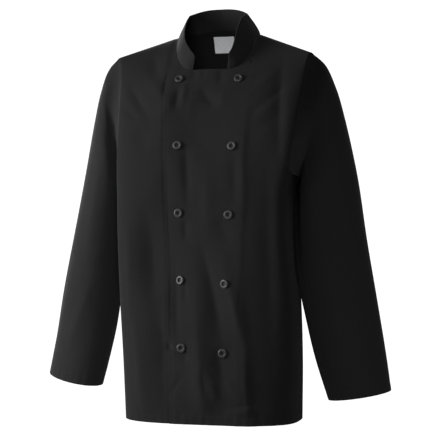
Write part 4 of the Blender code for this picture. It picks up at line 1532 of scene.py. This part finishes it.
def bumped(tree, shader, heights):
    """Bump nodes in a chain, each with its own height and distance, up to the shader's Normal."""
    last = None
    for height, distance in heights:
        inputs = {"Height": height, "Distance": distance, "Strength": 1.0}
        if last is not None:
            inputs["Normal"] = last
        last = wired(tree, "ShaderNodeBump", inputs).outputs["Normal"]
    tree.links.new(last, shader.inputs["Normal"])


print("helpers:", [helper.__name__ for helper in (finish_of, mixed, ranged, bumped)])

# %% [markdown]
# ## The woven finishes
#
# Black cotton and polyester twill is never quite black: it gives back about two or three per cent
# of the light, evenly, with a faint bloom where it turns away, which the shader's sheen gives. The
# label is pale satin. Both are mottled most, and a little darker between their ribs, which is
# painted shade in the grooves of the weave.

# %% Twill and satin
# how far the rib darkens the colour in the grooves: painted shade
RIB_SHADE_SHARE = 0.35
MOTTLE_GAIN, MOTTLE_SHIFT = 1.3, -0.33  # noise keeps near a half, and these spread it out


def woven(name, low, high, roughness, pitch, weave_depth, rumple_depth, **constants):
    """A woven finish: twill from the UV map, mottling and rumples from the object's own space."""
    made, tree, shader = finish_of(name, constants)
    uv = wired(tree, "ShaderNodeUVMap", uv_map="cloth").outputs["UV"]
    space = wired(tree, "ShaderNodeTexCoord").outputs["Object"]
    weave = wired(tree, "ShaderNodeGroup", {"Place": uv, "Pitch": pitch}, node_tree=TWILL)
    uneven = wired(tree, "ShaderNodeGroup", {"Place": space}, node_tree=UNEVEN)
    mottle = uneven.outputs["Mottle"]
    spread = math_node(tree, "MULTIPLY_ADD", mottle, MOTTLE_GAIN, MOTTLE_SHIFT)
    # The colour mask is the mottling, a real tone, plus the rib, which paints shade into the
    # grooves.
    mask = math_node(tree, "MULTIPLY_ADD", weave.outputs["Rib"], RIB_SHADE_SHARE, spread)
    tree.links.new(mixed(tree, mask, low, high), shader.inputs["Base Color"])
    tree.links.new(ranged(tree, mottle, *roughness), shader.inputs["Roughness"])
    heights = [(uneven.outputs["Height"], rumple_depth), (weave.outputs["Height"], weave_depth)]
    bumped(tree, shader, heights)
    return made


CLOTH = woven(
    "black twill",
    low=(0.0150, 0.0150, 0.0158),
    high=(0.0270, 0.0268, 0.0278),
    roughness=(0.80, 0.94),
    pitch=0.0007,
    weave_depth=0.000022,
    rumple_depth=0.0016,
    **{
        "Sheen Weight": 0.22,
        "Sheen Roughness": 0.45,
        "Sheen Tint": (0.55, 0.56, 0.60, 1.0),
        "Specular IOR Level": 0.30,
    },
)
SATIN = woven(
    "pale satin",
    low=(0.60, 0.61, 0.63),
    high=(0.80, 0.81, 0.82),
    roughness=(0.42, 0.60),
    pitch=0.0004,
    weave_depth=0.000012,
    rumple_depth=0.0004,
    **{"Sheen Weight": 0.15, "Specular IOR Level": 0.5},
)
print("woven:", CLOTH.name, "and", SATIN.name)

# %% [markdown]
# ## The smooth finishes
#
# The buttons are the same black as the cloth, in smooth plastic, so only their rims shine. Their
# colour is lifted to a dark grey over that black, which is painted brightness for their gloss. The
# thread is polyester with a little gloss. Neither has a UV map, so both read the object's space.

# %% Plastic and thread


def smooth_finish(name, low, high, roughness, scales, depth, **constants):
    """A finish without a weave: mottled colour and gloss, and a fine surface grain."""
    made, tree, shader = finish_of(name, constants)
    space = wired(tree, "ShaderNodeTexCoord").outputs["Object"]
    inputs = {"Place": space, "Rumple scale": scales[0], "Mottle scale": scales[1]}
    uneven = wired(tree, "ShaderNodeGroup", inputs, node_tree=UNEVEN)
    mottle = uneven.outputs["Mottle"]
    tree.links.new(mixed(tree, mottle, low, high), shader.inputs["Base Color"])
    tree.links.new(ranged(tree, mottle, *roughness), shader.inputs["Roughness"])
    bumped(tree, shader, [(uneven.outputs["Height"], depth)])
    return made


PLASTIC = smooth_finish(
    "black plastic",
    # a dark grey over the cloth's black: painted brightness for the buttons' gloss
    low=(0.050, 0.050, 0.053),
    high=(0.078, 0.078, 0.082),
    roughness=(0.30, 0.46),
    scales=(300.0, 900.0),
    depth=0.00002,
)
THREAD = smooth_finish(
    "black thread",
    low=(0.012, 0.012, 0.013),
    high=(0.030, 0.030, 0.032),
    roughness=(0.5, 0.7),
    scales=(2500.0, 1500.0),
    depth=0.00008,
)
print("smooth:", PLASTIC.name, "and", THREAD.name)

# %% [markdown]
# ## What each piece is made of
#
# Each piece has a single material, as each is cut from one cloth or turned from one plastic.

# %% Materials on the pieces
cloth_pieces = [*fronts.values(), back, *sleeves.values(), collar]
for piece in cloth_pieces:
    piece.data.materials.append(CLOTH)
for piece in [*threads.values(), *crosses.values()]:
    piece.data.materials.append(THREAD)
for piece in buttons.values():
    piece.data.materials.append(PLASTIC)
label.data.materials.append(SATIN)
print("finishes:", [made.name for made in (CLOTH, SATIN, PLASTIC, THREAD)])

# %% [markdown]
# ## The backdrop
#
# The backdrop is a pale sweep: a floor that curves up into a wall, so no line shows between them.
# It glows evenly to the camera and gives the jacket very little light, so that the folds keep
# their shade. A white floor lit by lamps would throw that light back up into them.

# %% Backdrop
SEEN = 1.1  # how bright the backdrop and the world look to the camera
BACKDROP_GIVES, WORLD_GIVES = 0.03, 0.035


def backdrop():
    """A sweep: a profile of floor, quarter circle and wall, carried along x."""
    front_y, wall_y, floor_z, wall_top, radius, half = -6.0, 6.0, -1.5, 3.5, 0.9, 8.0
    bend = np.linspace(0, np.pi / 2, 25)
    y = np.concatenate([[front_y], wall_y - radius + radius * np.sin(bend), [wall_y]])
    z = np.concatenate([[floor_z], floor_z + radius - radius * np.cos(bend), [wall_top]])
    x = np.linspace(-half, half, 3)
    grid = np.stack(np.broadcast_arrays(x, y[:, None], z[:, None]), axis=-1)
    index = np.arange(len(y) * 3).reshape(len(y), 3)
    return mesh_piece("backdrop", grid.reshape(-1, 3), quads(index))


def glowing(name, colour, seen, given):
    """A matt material that looks `seen` bright to the camera and gives `given` light."""
    made, tree, shader = finish_of(name, {"Roughness": 0.9, "Base Color": (*colour, 1.0)})
    ray = wired(tree, "ShaderNodeLightPath").outputs["Is Camera Ray"]
    shader.inputs["Emission Color"].default_value = (1.0, 1.0, 1.0, 1.0)
    tree.links.new(ranged(tree, ray, given, seen), shader.inputs["Emission Strength"])
    return made


sweep = backdrop()
sweep.data.materials.append(glowing("pale paper", (0.35, 0.35, 0.35), SEEN, BACKDROP_GIVES))
print("backdrop:", len(sweep.data.polygons), "faces")

# %% [markdown]
# ## The lights
#
# Black cloth on white is lit from the side, or it turns into a flat silhouette. A large soft light
# and a narrower one stand on the viewer's left, and a weaker one near the camera opens the
# shadows. Each sleeve has a light of its own, so has the label, and one from behind draws out the
# folds of the back.

# %% Lights


def soft_light(name, out, up, reach, size, power):
    """A rectangular light, aimed at the jacket's middle from `reach` metres away.

    It stands `out` degrees round from the camera towards the viewer's right, and `up` degrees up.
    """
    turn = np.radians(out)
    level = CAMERA_BACK * float(np.cos(turn)) + CAMERA_SIDE * float(np.sin(turn))
    lamp = bpy.data.objects.new(name, bpy.data.lights.new(name, "AREA"))
    lamp.data.shape = "RECTANGLE"
    lamp.data.size, lamp.data.size_y = size
    lamp.data.energy = power
    rise = float(np.radians(up))
    towards = level * float(np.cos(rise)) + Vector((0, 0, float(np.sin(rise))))
    lamp.location = AIM + towards * reach
    aimed(lamp, AIM)
    bpy.context.collection.objects.link(lamp)
    return lamp


# Degrees round and up, metres away, width and height in metres, and power in watts.
key = soft_light("key light", -70, 10, 2.3, (0.8, 1.4), 30)
rim = soft_light("side light", -80, 10, 2.3, (0.7, 1.5), 7)
front_lamp = soft_light("front light", -10, 22, 3.0, (1.2, 1.2), 15)
left_lamp = soft_light("left sleeve light", 20, -14, 2.2, (0.8, 0.8), 8)
right_lamp = soft_light("right sleeve light", 4, 8, 3.0, (1.0, 1.4), 14)
label_lamp = soft_light("label light", 0, 14, 3.0, (0.5, 0.5), 30)
back_lamp = soft_light("back light", -150, 30, 2.6, (1.0, 1.0), 24)

# %% [markdown]
# ## Flags, and the world
#
# In a studio, black flags stand between a light and what it shouldn't reach. Light linking does
# the same in Blender: a collection on the light names the pieces that it reaches or leaves out.
# The world is like the backdrop, white to the camera and nearly dark to the jacket.

# %% Flags and the world


def flagged(lamp, state, *pieces):
    """Keeps a light off some pieces, or off all others, as a black flag does in a studio."""
    flag = bpy.data.collections.new(f"flag of the {lamp.name}")
    for piece in pieces:
        flag.objects.link(piece)
    lamp.light_linking.receiver_collection = flag
    for entry in flag.collection_objects:
        entry.light_linking.link_state = state


far_sleeve = (sleeves[1], threads["left_cuff_stitches"])
flagged(key, "EXCLUDE", *far_sleeve)
flagged(front_lamp, "EXCLUDE", *far_sleeve)
flagged(rim, "EXCLUDE", *far_sleeve, *fronts.values())
flagged(left_lamp, "INCLUDE", *far_sleeve)
flagged(right_lamp, "INCLUDE", sleeves[-1], threads["right_cuff_stitches"])
flagged(label_lamp, "INCLUDE", label)
flagged(back_lamp, "INCLUDE", *cloth_pieces, *threads.values())

world = bpy.data.worlds.new("studio")
world.use_nodes = True
tree = world.node_tree
ray = wired(tree, "ShaderNodeLightPath").outputs["Is Camera Ray"]
tree.nodes["Background"].inputs["Color"].default_value = (1.0, 1.0, 1.0, 1.0)
strength = ranged(tree, ray, WORLD_GIVES, SEEN)
tree.links.new(strength, tree.nodes["Background"].inputs["Strength"])
bpy.context.scene.world = world
bpy.context.scene.view_settings.view_transform = "Standard"
print("flags:", [flag.name for flag in bpy.data.collections if flag.name.startswith("flag")])

# %% [markdown]
# ## What each piece stands for
#
# Every piece rides on the jacket's one body and stands for the solid that it replaces, which is
# hidden.

# %% Declarations


def stands(piece, slot, *nodes):
    """Ties a piece to its body and hides the nodes that it replaces. The slot is not used."""
    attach(piece, "root")
    if nodes:
        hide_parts(*nodes)


for side, word in SIDES.items():
    stands(fronts[side], "cloth", f"front_{word}")
    stands(sleeves[side], "cloth", f"sleeve_{word}")
stands(back, "cloth", "back")
stands(collar, "cloth", "collar")
stands(label, "label", "neck_label")
for name, piece in buttons.items():
    stands(piece, "button", name)
for piece in [*threads.values(), *crosses.values()]:
    stands(piece, "cloth")
print("tied to the frame:", len([*cloth_pieces, label, *buttons, *threads, *crosses]), "pieces")

# %% [markdown]
# ## The pieces of cloth
#
# The body and the sleeves hang, the collar is stretched over its stiffener, and the label lies on
# the back.

print("pieces of cloth: back, two fronts, two sleeves, collar and label")
